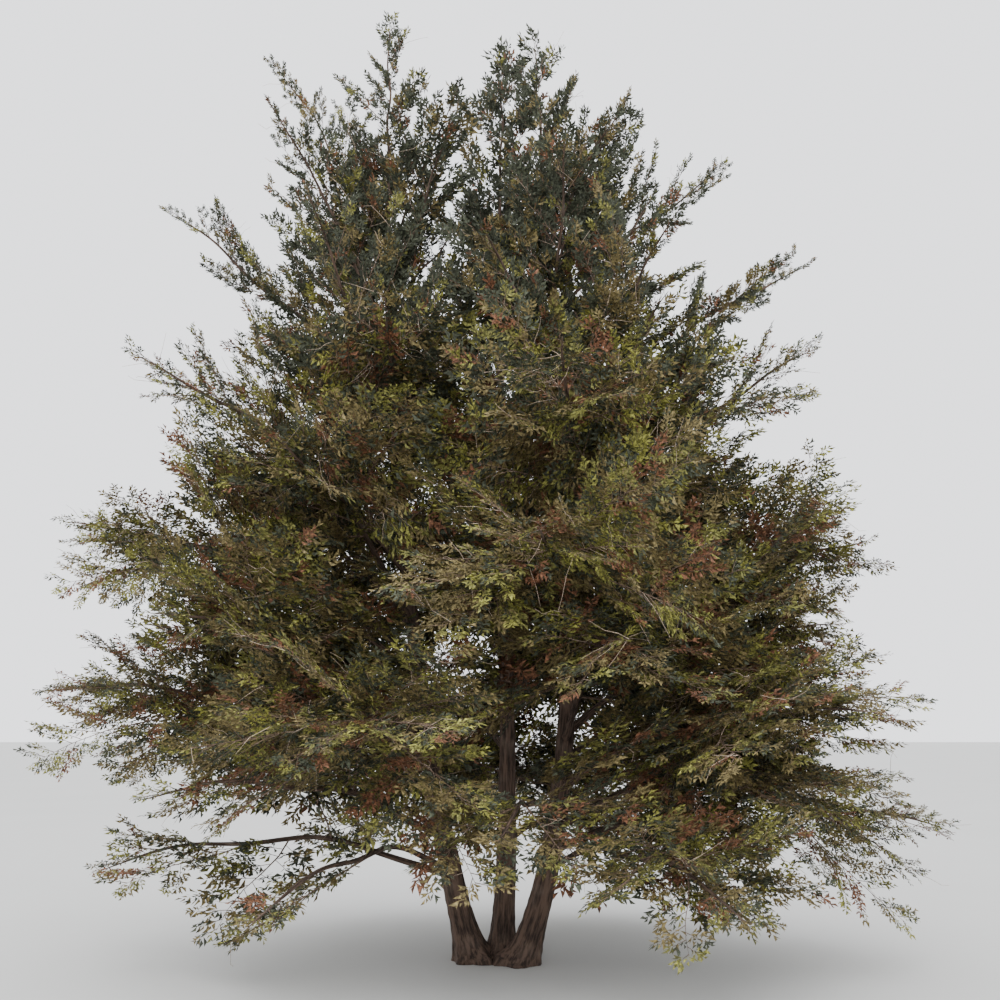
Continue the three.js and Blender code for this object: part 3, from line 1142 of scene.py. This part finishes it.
@dataclass
class BarkedStem:
    """A whole stem with its bark in relief, from the ground to the tip of its wood."""

    stem: Stem
    places: int = 56
    rings: int = 180
    ease: float = 1.5  # how much closer the rings are at the foot
    strip: float = 0.034
    depth: float = 0.075  # of the radius

    def relief(self, grain: Vector) -> float:
        """What the bark adds to the radius, as a share of it."""
        return self.depth * strips(grain, self.strip)

    def loft(self) -> Loft:
        """The skin of the stem.

        Returns:
            The skin, which starts below the ground.
        """
        steps = [ring / self.rings for ring in range(self.rings + 1)]
        shares = [mix(BELOW_GROUND, 1, step**self.ease) for step in steps]
        frames = [Turned.about(self.stem.curve.heading(t), RIGHT) for t in shares]
        middles = [self.stem.curve.point(t) for t in shares]
        radii = np.zeros((len(shares), self.places))
        run = 0.0
        for ring, t in enumerate(shares):
            run += (middles[ring] - middles[max(ring - 1, 0)]).length
            wood = self.stem.wood(t)
            for place in range(self.places):
                angle = FULL_TURN * place / self.places
                grain = Vector((math.sin(angle) * wood, math.cos(angle) * wood, run))
                radii[ring, place] = self.stem.radius(t, angle) * (1 + self.relief(grain))
        return Loft(
            np.array(middles),
            np.array([one.side for one in frames]),
            np.array([one.over for one in frames]),
            radii,
        )

    def build(self, material: bpy.types.Material) -> bpy.types.Object:
        """Makes the stem, cut flat at the ground.

        Args:
            material: The bark.

        Returns:
            The piece.
        """
        mesh = new_bark_mesh()
        self.loft().add_to(mesh)
        cut = bmesh.ops.bisect_plane(
            mesh,
            geom=[*mesh.verts, *mesh.edges, *mesh.faces],
            plane_co=(0, 0, 0),
            plane_no=(0, 0, 1),
            clear_inner=True,
        )
        edges = [one for one in cut["geom_cut"] if isinstance(one, bmesh.types.BMEdge)]
        bmesh.ops.edgenet_fill(mesh, edges=edges)
        side = self.stem.name.split("_")[1]
        piece = finish_mesh(mesh, f"barked_stem_{side}", material)
        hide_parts("root_crown", self.stem.name)
        return piece


@dataclass
class BarkedLimbs:
    """The boughs of a storey with the limbs of their masses, in bark."""

    storey: Storey
    limbs: list[Limb]
    places: int = 8
    least_rings: int = 8
    ring_step: float = 0.05
    collar: float = 0.5  # extra radius where a limb leaves its stem
    collar_run: float = 0.06
    strip: float = 0.02
    depth: float = 0.11

    def loft(self, limb: Limb) -> Loft:
        """The skin of one limb.

        Args:
            limb: The limb.

        Returns:
            The skin, from the middle of its stem to its tip.
        """
        chord = (limb.point(1) - limb.point(0)).length
        rings = max(self.least_rings, round(chord / self.ring_step))
        shares = [ring / rings for ring in range(rings + 1)]
        frames = [limb.turned(t) for t in shares]
        collar_width = 0 if limb.kind is LimbKind.LEADER else self.collar
        radii = np.zeros((len(shares), self.places))
        for ring, t in enumerate(shares):
            collar = collar_width * math.exp(-t * chord / self.collar_run)
            wood = limb.wood(t) * (1 + collar)
            for place in range(self.places):
                angle = FULL_TURN * place / self.places
                grain = Vector((math.sin(angle) * wood, math.cos(angle) * wood, t * chord + limb.seed))
                radii[ring, place] = wood * (1 + self.depth * strips(grain, self.strip))
        return Loft(
            np.array([limb.point(t) for t in shares]),
            np.array([one.side for one in frames]),
            np.array([one.over for one in frames]),
            radii,
        )

    def build(self, material: bpy.types.Material) -> bpy.types.Object:
        """Makes the storey's limbs as one piece.

        Args:
            material: The bark.

        Returns:
            The piece.
        """
        mesh = new_bark_mesh()
        for limb in self.limbs:
            self.loft(limb).add_to(mesh)
        piece = finish_mesh(mesh, f"barked_limbs_{self.storey.value}", material)
        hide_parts(*[node for limb in self.limbs for node in limb.nodes()])
        return piece


Socket = bpy.types.NodeSocket
Colour = tuple[float, float, float, float]


@dataclass
class Graph:
    """A node tree under construction."""

    tree: bpy.types.NodeTree

    def node(self, kind: str, feeds: dict | None = None, **settings: object) -> bpy.types.Node:
        """Adds a node.

        Args:
            kind: The node's type.
            feeds: What each input gets, by its name or number: a socket to link, or a value.
            settings: The node's own properties.

        Returns:
            The node.
        """
        node = self.tree.nodes.new(kind)
        for name, value in settings.items():
            setattr(node, name, value)
        for key, value in (feeds or {}).items():
            if isinstance(value, bpy.types.NodeSocket):
                self.tree.links.new(value, node.inputs[key])
            else:
                node.inputs[key].default_value = value
        return node

    def socket(self, name: str, kind: str, output: bool = False) -> bpy.types.NodeTreeInterfaceSocket:
        """Adds a named input or output to a group.

        Args:
            name: The socket's name.
            kind: Its type, without the prefix.
            output: Whether it is an output.

        Returns:
            The socket.
        """
        side = "OUTPUT" if output else "INPUT"
        return self.tree.interface.new_socket(name=name, in_out=side, socket_type=f"NodeSocket{kind}")

    def carried(self, name: str, kind: str = "FLOAT") -> Socket:
        """What each point or line carries under a name."""
        return self.node("GeometryNodeInputNamedAttribute", {"Name": name}, data_type=kind).outputs[0]

    def product(self, first: Socket, second: Socket) -> Socket:
        """Two numbers multiplied."""
        return self.node("ShaderNodeMath", {0: first, 1: second}, operation="MULTIPLY").outputs[0]

    def noise(
        self, place: Socket, scale: Socket | float, detail: float = 2.0, roughness: float = 0.5
    ) -> Socket:
        """Noise in space.

        Args:
            place: Where it is read.
            scale: How fine it is.
            detail: How many finer layers it has.
            roughness: How strong those are.

        Returns:
            Its value.
        """
        feeds = {"Vector": place, "Scale": scale, "Detail": detail, "Roughness": roughness}
        return self.node("ShaderNodeTexNoise", feeds).outputs[0]

    def ramp(
        self, value: Socket, start: float = 0.0, end: float = 1.0, low: float = 0.0, high: float = 1.0
    ) -> Socket:
        """A straight ramp that stays level beyond its ends.

        Args:
            value: What it reads.
            start: The value where it starts.
            end: The value where it ends.
            low: What it gives at the start.
            high: What it gives at the end.

        Returns:
            What it gives.
        """
        feeds = {"Value": value, "From Min": start, "From Max": end, "To Min": low, "To Max": high}
        return self.node("ShaderNodeMapRange", feeds).outputs[0]

    def blend(self, share: Socket, base: Socket | Colour, top: Socket | Colour) -> Socket:
        """A colour between two, by the share of the second."""
        return self.node("ShaderNodeMix", {0: share, 6: base, 7: top}, data_type="RGBA").outputs[2]


def new_geometry_tree(name: str, inputs: dict[str, str]) -> tuple[Graph, bpy.types.NodeOutputs]:
    """A geometry node tree with its sockets.

    Args:
        name: Of the tree.
        inputs: The type of each named input after the geometry.

    Returns:
        The graph and what its inputs give.
    """
    graph = Graph(bpy.data.node_groups.new(name, "GeometryNodeTree"))
    graph.socket("Geometry", "Geometry")
    for label, kind in inputs.items():
        graph.socket(label, kind)
    graph.socket("Geometry", "Geometry", output=True)
    return graph, graph.node("NodeGroupInput").outputs


def end_geometry_tree(graph: Graph, geometry: Socket, material: Socket) -> None:
    """Ends a tree in Realize Instances and Set Material.

    Args:
        graph: The tree.
        geometry: What it has made.
        material: Its input for the finish.
    """
    real = graph.node("GeometryNodeRealizeInstances", {"Geometry": geometry})
    dressed = graph.node("GeometryNodeSetMaterial", {"Geometry": real.outputs[0], "Material": material})
    graph.node("NodeGroupOutput", {"Geometry": dressed.outputs[0]})


def spray_tree() -> bpy.types.NodeTree:
    """The tree that puts a spray on each point, turned and sized by the point's own values.

    Returns:
        The tree, with the inputs Forms, Length and Finish.
    """
    graph, given = new_geometry_tree(
        "sprays_on_points", {"Forms": "Collection", "Length": "Float", "Finish": "Material"}
    )
    forms = graph.node(
        "GeometryNodeCollectionInfo", {"Collection": given["Forms"], "Separate Children": True}
    )
    placed = graph.node(
        "GeometryNodeInstanceOnPoints",
        {
            "Points": given["Geometry"],
            "Instance": forms.outputs[0],
            "Pick Instance": True,
            "Instance Index": graph.carried("form", "INT"),
            "Rotation": graph.carried("turn", "QUATERNION"),
            "Scale": graph.product(graph.carried("size"), given["Length"]),
        },
    )
    end_geometry_tree(graph, placed.outputs[0], given["Finish"])
    return graph.tree


CROOK_SCALE = 9.0  # bends of a crooked twig to a metre
NOISE_MIDDLE = (0.5, 0.5, 0.5)


def twig_tree() -> bpy.types.NodeTree:
    """The tree that gives each line its wood, as thick as the line's own values say.

    Returns:
        The tree, with the inputs Sides, Thickness, Crook, Seed and Finish.
    """
    graph, given = new_geometry_tree(
        "wood_on_lines",
        {"Sides": "Int", "Thickness": "Float", "Crook": "Float", "Seed": "Float", "Finish": "Material"},
    )
    bends = {"W": given["Seed"], "Scale": CROOK_SCALE, "Detail": 1.0}
    wave = graph.node("ShaderNodeTexNoise", bends, noise_dimensions="4D")
    swing = graph.node(
        "ShaderNodeVectorMath", {0: wave.outputs["Color"], 1: NOISE_MIDDLE}, operation="SUBTRACT"
    )
    reach = graph.product(graph.carried("free"), given["Crook"])
    offset = graph.node("ShaderNodeVectorMath", {0: swing.outputs[0], "Scale": reach}, operation="SCALE")
    crooked = graph.node(
        "GeometryNodeSetPosition", {"Geometry": given["Geometry"], "Offset": offset.outputs[0]}
    )
    line = graph.node("GeometryNodeMeshToCurve", {"Mesh": crooked.outputs[0]})
    circle = {"Resolution": given["Sides"], "Radius": 1.0}
    section = graph.node("GeometryNodeCurvePrimitiveCircle", circle)
    wood = graph.node(
        "GeometryNodeCurveToMesh",
        {
            "Curve": line.outputs[0],
            "Profile Curve": section.outputs[0],
            "Scale": graph.product(graph.carried("radius_here"), given["Thickness"]),
            "Fill Caps": True,
        },
    )
    end_geometry_tree(graph, wood.outputs[0], given["Finish"])
    return graph.tree


CARRIED = ("turn", "size", "form", "radius_here", "free")  # what points and lines carry for the trees


def realized(
    data: bpy.types.Mesh, name: str, tree: bpy.types.NodeTree, values: dict[str, object]
) -> bpy.types.Object:
    """Runs a geometry node tree on a mesh and keeps the result as a plain mesh.

    Args:
        data: The points or lines.
        name: Of the piece.
        tree: The tree.
        values: What each named input gets.

    Returns:
        The piece, without a modifier.
    """
    carrier = bpy.data.objects.new(f"{name}_carrier", data)
    bpy.context.scene.collection.objects.link(carrier)
    modifier = carrier.modifiers.new("growth", "NODES")
    modifier.node_group = tree
    for socket in tree.interface.items_tree:
        if socket.in_out == "INPUT" and socket.name in values:
            modifier[socket.identifier] = values[socket.name]
    graph = bpy.context.evaluated_depsgraph_get()
    grown = bpy.data.meshes.new_from_object(carrier.evaluated_get(graph), depsgraph=graph)
    bpy.data.objects.remove(carrier)
    bpy.data.meshes.remove(data)
    for label in CARRIED:
        if label in grown.attributes:
            grown.attributes.remove(grown.attributes[label])
    piece = bpy.data.objects.new(name, grown)
    bpy.context.scene.collection.objects.link(piece)
    return piece


@dataclass(frozen=True)
class SprayForm:
    """One form of spray, 1 long: ragged, pointed lobes on both hands of a line and at its tip."""

    name: str
    seed: int
    lobes: int  # on each hand
    length: float
    angle: tuple[float, float]
    droop: float
    side_droop: float = 1.6
    line: float = 0.72  # how far the lobes go along the spray
    root_play: float = 0.15
    elbow: tuple[float, float] = (0.6, 36)  # where a lobe is widest: share of its length, degrees aside
    narrow: float = 0.85  # the shortest lobes against the longest
    play: float = 0.3
    angle_play: float = 12
    lean: float = 0.35  # how far a lobe's end strays to either side of the flat

    def place(self, x: float, y: float, lean: float) -> Vector:
        """A point of the outline, with the droop of what lies far from the root."""
        return Vector((x, y, lean - self.droop * (x * x + self.side_droop * y * y)))

    def lobe(self, number: int, chance: Chance) -> list[Vector]:
        """The three corners of a lobe, which is narrow at its root, wide on one side and pointed.

        Args:
            number: Its place along the line.
            chance: The series that it draws from.

        Returns:
            The root, and then the tip and the elbow in the order that keeps the face upward.
        """
        last = 2 * self.lobes
        share = number / last
        hand = hand_of(number)
        root = self.line * mix(share, chance.share(), self.root_play)
        reach = self.length * mix(self.narrow, 1, fan_width(share)) * (1 + self.play * chance.swing())
        turn = 0 if number == last else mix(*self.angle, share)
        turn += self.angle_play * chance.swing()
        side = chance.hand()
        lean = self.lean * reach * chance.swing()
        widest, aside = self.elbow
        ends = ((reach, math.radians(turn)), (widest * reach, math.radians(turn + side * aside)))
        tip, elbow = (
            self.place(root + far * math.cos(way), hand * far * math.sin(way), lean) for far, way in ends
        )
        corners = [tip, elbow] if hand == side else [elbow, tip]
        return [self.place(root, 0, 0), *corners]

    def outline(self) -> tuple[list[Vector], list[tuple[int, int, int]]]:
        """The lobes, each one face.

        Returns:
            The points and the faces.
        """
        chance = Chance(self.seed)
        points = []
        faces = []
        for number in range(2 * self.lobes + 1):
            faces.append((len(points), len(points) + 1, len(points) + 2))
            points += self.lobe(number, chance)
        return points, faces

    def build(self) -> bpy.types.Object:
        """Makes the form.

        Returns:
            Its object, which isn't linked to the scene.
        """
        data = bpy.data.meshes.new(self.name)
        points, faces = self.outline()
        data.from_pydata(points, [], faces)
        return bpy.data.objects.new(self.name, data)


SPRAY_FORMS = (
    SprayForm("form_1", seed=11, lobes=2, length=0.58, angle=(50, 26), droop=0.12),
    SprayForm("form_2", seed=12, lobes=2, length=0.64, angle=(42, 22), droop=0.22),
    SprayForm("form_3", seed=13, lobes=2, length=0.56, angle=(56, 30), droop=0.05),
    SprayForm("form_4", seed=14, lobes=2, length=0.60, angle=(46, 24), droop=0.16),
    SprayForm("form_5", seed=15, lobes=2, length=0.62, angle=(52, 32), droop=0.08),
)


def points_of(sprays: list[Shoot]) -> bpy.types.Mesh:
    """The mesh of points that sprays are put on.

    Args:
        sprays: The sprays.

    Returns:
        The mesh, with each spray's turn, size and form.
    """
    data = bpy.data.meshes.new("spray_points")
    data.vertices.add(len(sprays))
    roots = np.array([one.root for one in sprays], np.float32)
    data.vertices.foreach_set("co", roots.ravel())
    turns = []
    for one in sprays:
        axes = Matrix((one.turned.along, one.turned.over.cross(one.turned.along), one.turned.over))
        turns.append(axes.transposed().to_quaternion())
    turn = data.attributes.new("turn", "QUATERNION", "POINT")
    turn.data.foreach_set("value", np.array(turns, np.float32).ravel())
    size = data.attributes.new("size", "FLOAT", "POINT")
    size.data.foreach_set("value", np.array([one.length for one in sprays], np.float32))
    form = data.attributes.new("form", "INT", "POINT")
    form.data.foreach_set("value", np.arange(len(sprays), dtype=np.int32) % len(SPRAY_FORMS))
    return data


def lines_of(twigs: list[tuple[Shoot, int]]) -> bpy.types.Mesh:
    """The mesh of lines that twigs are drawn on.

    Args:
        twigs: Each twig, with its number of spans.

    Returns:
        The mesh, with each vertex's radius and how far along its twig it is.
    """
    points: list[Vector] = []
    edges: list[tuple[int, int]] = []
    radii: list[float] = []
    shares: list[float] = []
    for twig, spans in twigs:
        first = len(points)
        for step in range(spans + 1):
            share = step / spans
            shares.append(share)
            points.append(twig.point(share))
            radii.append(twig.radius * (1 - share) + TWIG_TIP_RADIUS * share)
        edges.extend((first + step, first + step + 1) for step in range(spans))
    data = bpy.data.meshes.new("twig_lines")
    data.from_pydata(points, edges, [])
    radius = data.attributes.new("radius_here", "FLOAT", "POINT")
    radius.data.foreach_set("value", np.array(radii, np.float32))
    free = data.attributes.new("free", "FLOAT", "POINT")
    free.data.foreach_set("value", np.array(shares, np.float32))
    return data


def surface(
    name: str, roughness: float, specular: float
) -> tuple[bpy.types.Material, Graph, bpy.types.Node]:
    """A material with its shader.

    Args:
        name: Of the material.
        roughness: Of the shader, where nothing is linked to it.
        specular: How strongly the surface glints.

    Returns:
        The material, its graph and its shader.
    """
    material = bpy.data.materials.new(name)
    material.use_nodes = True
    graph = Graph(material.node_tree)
    shader = material.node_tree.nodes["Principled BSDF"]
    shader.inputs["Roughness"].default_value = roughness
    shader.inputs["Specular IOR Level"].default_value = specular
    return material, graph, shader


def new_shader_group(name: str, inputs: dict[str, str]) -> tuple[Graph, bpy.types.NodeOutputs]:
    """A shader node group with the outputs Color, Roughness and Height.

    Args:
        name: Of the group.
        inputs: The type of each named input.

    Returns:
        The graph and what its inputs give.
    """
    graph = Graph(bpy.data.node_groups.new(name, "ShaderNodeTree"))
    for label, kind in inputs.items():
        graph.socket(label, kind)
    for label, kind in {"Color": "Color", "Roughness": "Float", "Height": "Float"}.items():
        graph.socket(label, kind, output=True)
    return graph, graph.node("NodeGroupInput").outputs


def mottle_group() -> bpy.types.NodeTree:
    """The group that mottles a leaf's or twig's colour: coarse patches, fine painted shade and
    highlights.

    Returns:
        The group.
    """
    tones = {label: "Color" for label in ("Painted Gap Shade", "Dark", "Plain", "Light")}
    inputs = {"Vector": "Vector", "Patch Scale": "Float", "Fine Scale": "Float", **tones}
    graph, given = new_shader_group("mottle", inputs)
    patch = graph.noise(given["Vector"], given["Patch Scale"], detail=3.0, roughness=0.6)
    fine = graph.noise(given["Vector"], given["Fine Scale"], detail=3.0, roughness=0.6)
    shaded = graph.blend(graph.ramp(patch, start=0.62, end=0.36), given["Plain"], given["Dark"])
    # Fine painted shade in the gaps, as between scale leaves, and fine painted highlights on the flecks.
    painted_gap_shade = graph.blend(graph.ramp(fine, start=0.5, end=0.38), shaded, given["Painted Gap Shade"])
    toned = graph.blend(graph.ramp(fine, start=0.5, end=0.72), painted_gap_shade, given["Light"])
    rough = graph.ramp(fine, low=0.88, high=0.6)
    graph.node("NodeGroupOutput", {"Color": toned, "Roughness": rough, "Height": fine})
    return graph.tree


def bark_group() -> bpy.types.NodeTree:
    """The group for fibrous bark in long strips, drawn along the grain.

    Returns:
        The group.
    """
    tones = {label: "Color" for label in ("Groove", "Strip", "Weathered")}
    graph, given = new_shader_group("peeling_bark", {"Grain": "Vector", "Strip Scale": "Float", **tones})
    stretched = {"Vector": given["Grain"], "Scale": (1, 1, STRIP_STRETCH)}
    drawn = graph.node("ShaderNodeMapping", stretched).outputs[0]
    strip = graph.noise(drawn, given["Strip Scale"], detail=6.0, roughness=0.62)
    fibre = graph.noise(drawn, scale=210.0, detail=4.0, roughness=0.7)
    patch = graph.noise(given["Grain"], scale=3.4, detail=4.0)
    raised = graph.ramp(strip, start=0.4, end=0.56)
    worn = graph.ramp(patch, start=0.52, end=0.68)
    body = graph.blend(raised, given["Groove"], given["Strip"])
    colour = graph.blend(graph.product(worn, fibre), body, given["Weathered"])
    rough = graph.ramp(raised, low=0.97, high=0.8)
    fibres = {0: fibre, 1: FIBRE_HEIGHT, 2: raised}
    lifted = graph.node("ShaderNodeMath", fibres, operation="MULTIPLY_ADD").outputs[0]
    graph.node("NodeGroupOutput", {"Color": colour, "Roughness": rough, "Height": lifted})
    return graph.tree


@dataclass(frozen=True, kw_only=True)
class Finish:
    """A material whose colour, roughness and relief come from a node group."""

    name: str = field(kw_only=False)
    roughness: float
    specular: float
    relief: float

    def feeds(self, graph: Graph) -> dict[str, Socket | float | Colour]:
        """What the group gets, which each kind of finish says for itself.

        Args:
            graph: The material's graph.

        Returns:
            The value or socket for each named input.
        """
        raise NotImplementedError

    def material(self, group: bpy.types.NodeTree) -> bpy.types.Material:
        """Makes the material.

        Args:
            group: The node group.

        Returns:
            The material.
        """
        material, graph, shader = surface(self.name, self.roughness, self.specular)
        given = graph.node("ShaderNodeGroup", self.feeds(graph), node_tree=group).outputs
        bump = graph.node("ShaderNodeBump", {"Height": given["Height"], "Distance": self.relief})
        link = material.node_tree.links.new
        link(given["Color"], shader.inputs["Base Color"])
        link(given["Roughness"], shader.inputs["Roughness"])
        link(bump.outputs[0], shader.inputs["Normal"])
        return material


@dataclass(frozen=True, kw_only=True)
class BarkFinish(Finish):
    """Reddish-brown bark in peeling strips, on everything that carries the grain's coordinates."""

    strip_scale: float
    groove: Colour = (0.032, 0.023, 0.018, 1)
    strip: Colour = (0.108, 0.070, 0.051, 1)
    weathered: Colour = (0.20, 0.152, 0.12, 1)
    relief: float = 0.004
    roughness: float = 0.9
    specular: float = 0.25

    def feeds(self, graph: Graph) -> dict[str, Socket | float | Colour]:
        """What the bark's group gets.

        Args:
            graph: The material's graph.

        Returns:
            The value or socket for each named input.
        """
        return {
            "Grain": graph.node("ShaderNodeAttribute", attribute_name="grain").outputs["Vector"],
            "Strip Scale": self.strip_scale,
            "Groove": self.groove,
            "Strip": self.strip,
            "Weathered": self.weathered,
        }


@dataclass(frozen=True, kw_only=True)
class MottledFinish(Finish):
    """A leaf or twig finish: a colour with darker patches, and flecks of painted shade and highlight."""

    plain: Colour
    patch_scale: float = 2.6
    fine_scale: float = 58
    # The creases are painted shade between the scales and the lighter flecks are painted highlights.
    painted_gap_shade: float = 0.4
    darker: float = 0.66
    painted_highlight: float = 2.0
    relief: float = 0.0015
    roughness: float = 0.75
    specular: float = 0.35

    def tone(self, factor: float) -> Colour:
        """The plain colour times a factor."""
        red, green, blue, _ = self.plain
        return (red * factor, green * factor, blue * factor, 1)

    def feeds(self, graph: Graph) -> dict[str, Socket | float | Colour]:
        """What the mottling group gets.

        Args:
            graph: The material's graph.

        Returns:
            The value or socket for each named input.
        """
        return {
            "Vector": graph.node("ShaderNodeTexCoord").outputs["Object"],
            "Patch Scale": self.patch_scale,
            "Fine Scale": self.fine_scale,
            "Painted Gap Shade": self.tone(self.painted_gap_shade),
            "Dark": self.tone(self.darker),
            "Plain": self.plain,
            "Light": self.tone(self.painted_highlight),
        }


LEAF_FINISHES = {
    Leaf.DEEP: MottledFinish("deep_green_leaf", plain=(0.047, 0.053, 0.032, 1)),
    Leaf.OLIVE: MottledFinish("olive_leaf", plain=(0.146, 0.142, 0.036, 1)),
    Leaf.FRESH: MottledFinish("yellow_green_leaf", plain=(0.236, 0.230, 0.050, 1)),
    Leaf.DULL: MottledFinish("dull_brown_leaf", plain=(0.152, 0.119, 0.047, 1)),
    Leaf.RUST: MottledFinish("rust_leaf", plain=(0.150, 0.066, 0.033, 1)),
}
TWIG_FINISHES = {
    Twig.LEAFY: MottledFinish("twig_bark", plain=(0.15, 0.10, 0.07, 1), fine_scale=140),
    Twig.BARE: MottledFinish("bare_twig_bark", plain=(0.40, 0.31, 0.235, 1), fine_scale=140),
}
CROOK = {Twig.LEAFY: 0.0, Twig.BARE: 0.2}  # how far a twig's tip may stray, in metres


@dataclass
class Foliage:
    """The twigs and sprays of the crown, each kind and storey a piece of its own."""

    growth: Growth
    limbs: list[Limb]
    twig_sides: int = 3
    thickness: float = 1.0  # of the twigs, against their own radii
    crook_seed: float = 4.0
    spray_length: float = 1.0  # against the sprays' own lengths

    def masses(self, storey: Storey) -> list[str]:
        """The nodes of the storey's masses."""
        names = [limb.mass() for limb in self.limbs if limb.tier.storey is storey]
        return [name for name in names if name in frame["nodes"]]

    def dress(self, piece: bpy.types.Object, storey: Storey) -> bpy.types.Object:
        """Ties a piece to the frame.

        Args:
            piece: The piece.
            storey: Where in the crown it is.

        Returns:
            The piece.
        """
        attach(piece, BODY)
        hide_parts(*self.masses(storey))
        return piece

    def build_twigs(self, group: bpy.types.NodeTree) -> list[bpy.types.Object]:
        """Makes the pieces of twigs.

        Args:
            group: The mottling node group.

        Returns:
            The pieces.
        """
        tree = twig_tree()
        finishes = {kind: finish.material(group) for kind, finish in TWIG_FINISHES.items()}
        made = []
        for (kind, storey), twigs in self.growth.twigs.items():
            values = {
                "Sides": self.twig_sides,
                "Thickness": self.thickness,
                "Crook": CROOK[kind],
                "Seed": self.crook_seed,
                "Finish": finishes[kind],
            }
            piece = realized(lines_of(twigs), f"{kind.value}_{storey.value}", tree, values)
            made.append(self.dress(piece, storey))
        return made

    def build_sprays(self, group: bpy.types.NodeTree) -> list[bpy.types.Object]:
        """Makes the pieces of sprays.

        Args:
            group: The mottling node group.

        Returns:
            The pieces.
        """
        tree = spray_tree()
        forms = bpy.data.collections.new("spray_forms")
        for form in SPRAY_FORMS:
            forms.objects.link(form.build())
        finishes = {kind: finish.material(group) for kind, finish in LEAF_FINISHES.items()}
        made = []
        for (kind, storey), sprays in self.growth.sprays.items():
            values = {"Forms": forms, "Length": self.spray_length, "Finish": finishes[kind]}
            piece = realized(points_of(sprays), f"{kind.value}_sprays_{storey.value}", tree, values)
            made.append(self.dress(piece, storey))
        for form in list(forms.objects):
            bpy.data.objects.remove(form)
        bpy.data.collections.remove(forms)
        return made


@dataclass
class Studio:
    """The camera at the photograph's place, a plain pale floor and soft light."""

    eye: tuple[float, float, float] = (0, -8.68, 1.6)
    pitch: float = 11.45
    lens: float = 41.4
    sensor: float = 36
    sight: float = 1000
    floor_size: float = 400
    floor_colour: Colour = (0.62, 0.62, 0.60, 1)
    floor_shade: float = 0.94  # of that colour in the darker parts
    floor_scale: float = 0.4
    floor_roughness: float = 0.9
    floor_specular: float = 0.2
    sky_colour: Colour = (0.83, 0.84, 0.87, 1)
    sky_strength: float = 2.55
    key_power: float = 1340
    key_size: float = 9
    key_place: tuple[float, float, float] = (-1.5, -11.5, 8.5)
    key_aim: tuple[float, float, float] = (0, 0, 3)

    def camera(self) -> None:
        """Sets the camera, which looks level to the back and a little up."""
        data = bpy.data.cameras.new("camera")
        data.lens = self.lens
        data.sensor_width = self.sensor
        data.clip_end = self.sight
        camera = bpy.data.objects.new("camera", data)
        camera.location = self.eye
        camera.rotation_euler = (math.radians(90 + self.pitch), 0, 0)
        bpy.context.scene.collection.objects.link(camera)
        bpy.context.scene.camera = camera

    def floor(self) -> None:
        """Lays the floor, whose colour drifts a little."""
        bpy.ops.mesh.primitive_plane_add(size=self.floor_size, location=(0, 0, 0))
        floor = bpy.context.object
        floor.name = "floor"
        material, graph, shader = surface("pale_floor", self.floor_roughness, self.floor_specular)
        place = graph.node("ShaderNodeTexCoord").outputs["Object"]
        drift = graph.noise(place, scale=self.floor_scale)
        darker = (*(self.floor_shade * value for value in self.floor_colour[:3]), 1)
        tone = graph.blend(drift, self.floor_colour, darker)
        material.node_tree.links.new(tone, shader.inputs["Base Color"])
        floor.data.materials.append(material)

    def light(self) -> None:
        """Lights the tree as an overcast sky does, a little stronger from above the front."""
        world = bpy.data.worlds.new("overcast")
        world.use_nodes = True
        background = world.node_tree.nodes["Background"]
        background.inputs["Color"].default_value = self.sky_colour
        background.inputs["Strength"].default_value = self.sky_strength
        bpy.context.scene.world = world
        data = bpy.data.lights.new("key", "AREA")
        data.energy = self.key_power
        data.shape = "DISK"
        data.size = self.key_size
        key = bpy.data.objects.new("key", data)
        key.location = self.key_place
        key.rotation_euler = (Vector(self.key_aim) - key.location).to_track_quat("-Z", "Y").to_euler()
        bpy.context.scene.collection.objects.link(key)

    def build(self) -> None:
        """Sets up the whole studio."""
        self.camera()
        self.floor()
        self.light()


def report(pieces: Sequence[bpy.types.Object]) -> None:
    """Logs each piece with its count of triangles.

    Args:
        pieces: The pieces.
    """
    for piece in pieces:
        count = sum(len(face.vertices) - 2 for face in piece.data.polygons)
        log.info("%s: %d triangles", piece.name, count)


def main() -> None:
    """Builds the wood, the twigs, the sprays and the studio in that order."""
    logging.basicConfig(level=logging.INFO, format="%(name)s: %(message)s")
    limbs = plan_limbs()
    shoots = [plan_stem_shoots(place) for place in range(len(STEMS))]
    bark, mottle = bark_group(), mottle_group()
    stem_bark = BarkFinish("stem_bark", strip_scale=46).material(bark)
    limb_bark = BarkFinish("limb_bark", strip_scale=90).material(bark)
    wood = [BarkedStem(one).build(stem_bark) for one in STEMS]
    for storey in Storey:
        of_storey = [limb for limb in limbs if limb.tier.storey is storey]
        wood.append(BarkedLimbs(storey, of_storey).build(limb_bark))
    for piece in wood:
        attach(piece, BODY)
    report(wood)
    foliage = Foliage(Crown([*limbs, *shoots]).grow(), limbs)
    report(foliage.build_twigs(mottle))
    report(foliage.build_sprays(mottle))
    Studio().build()


if __name__ == "__main__":
    main()
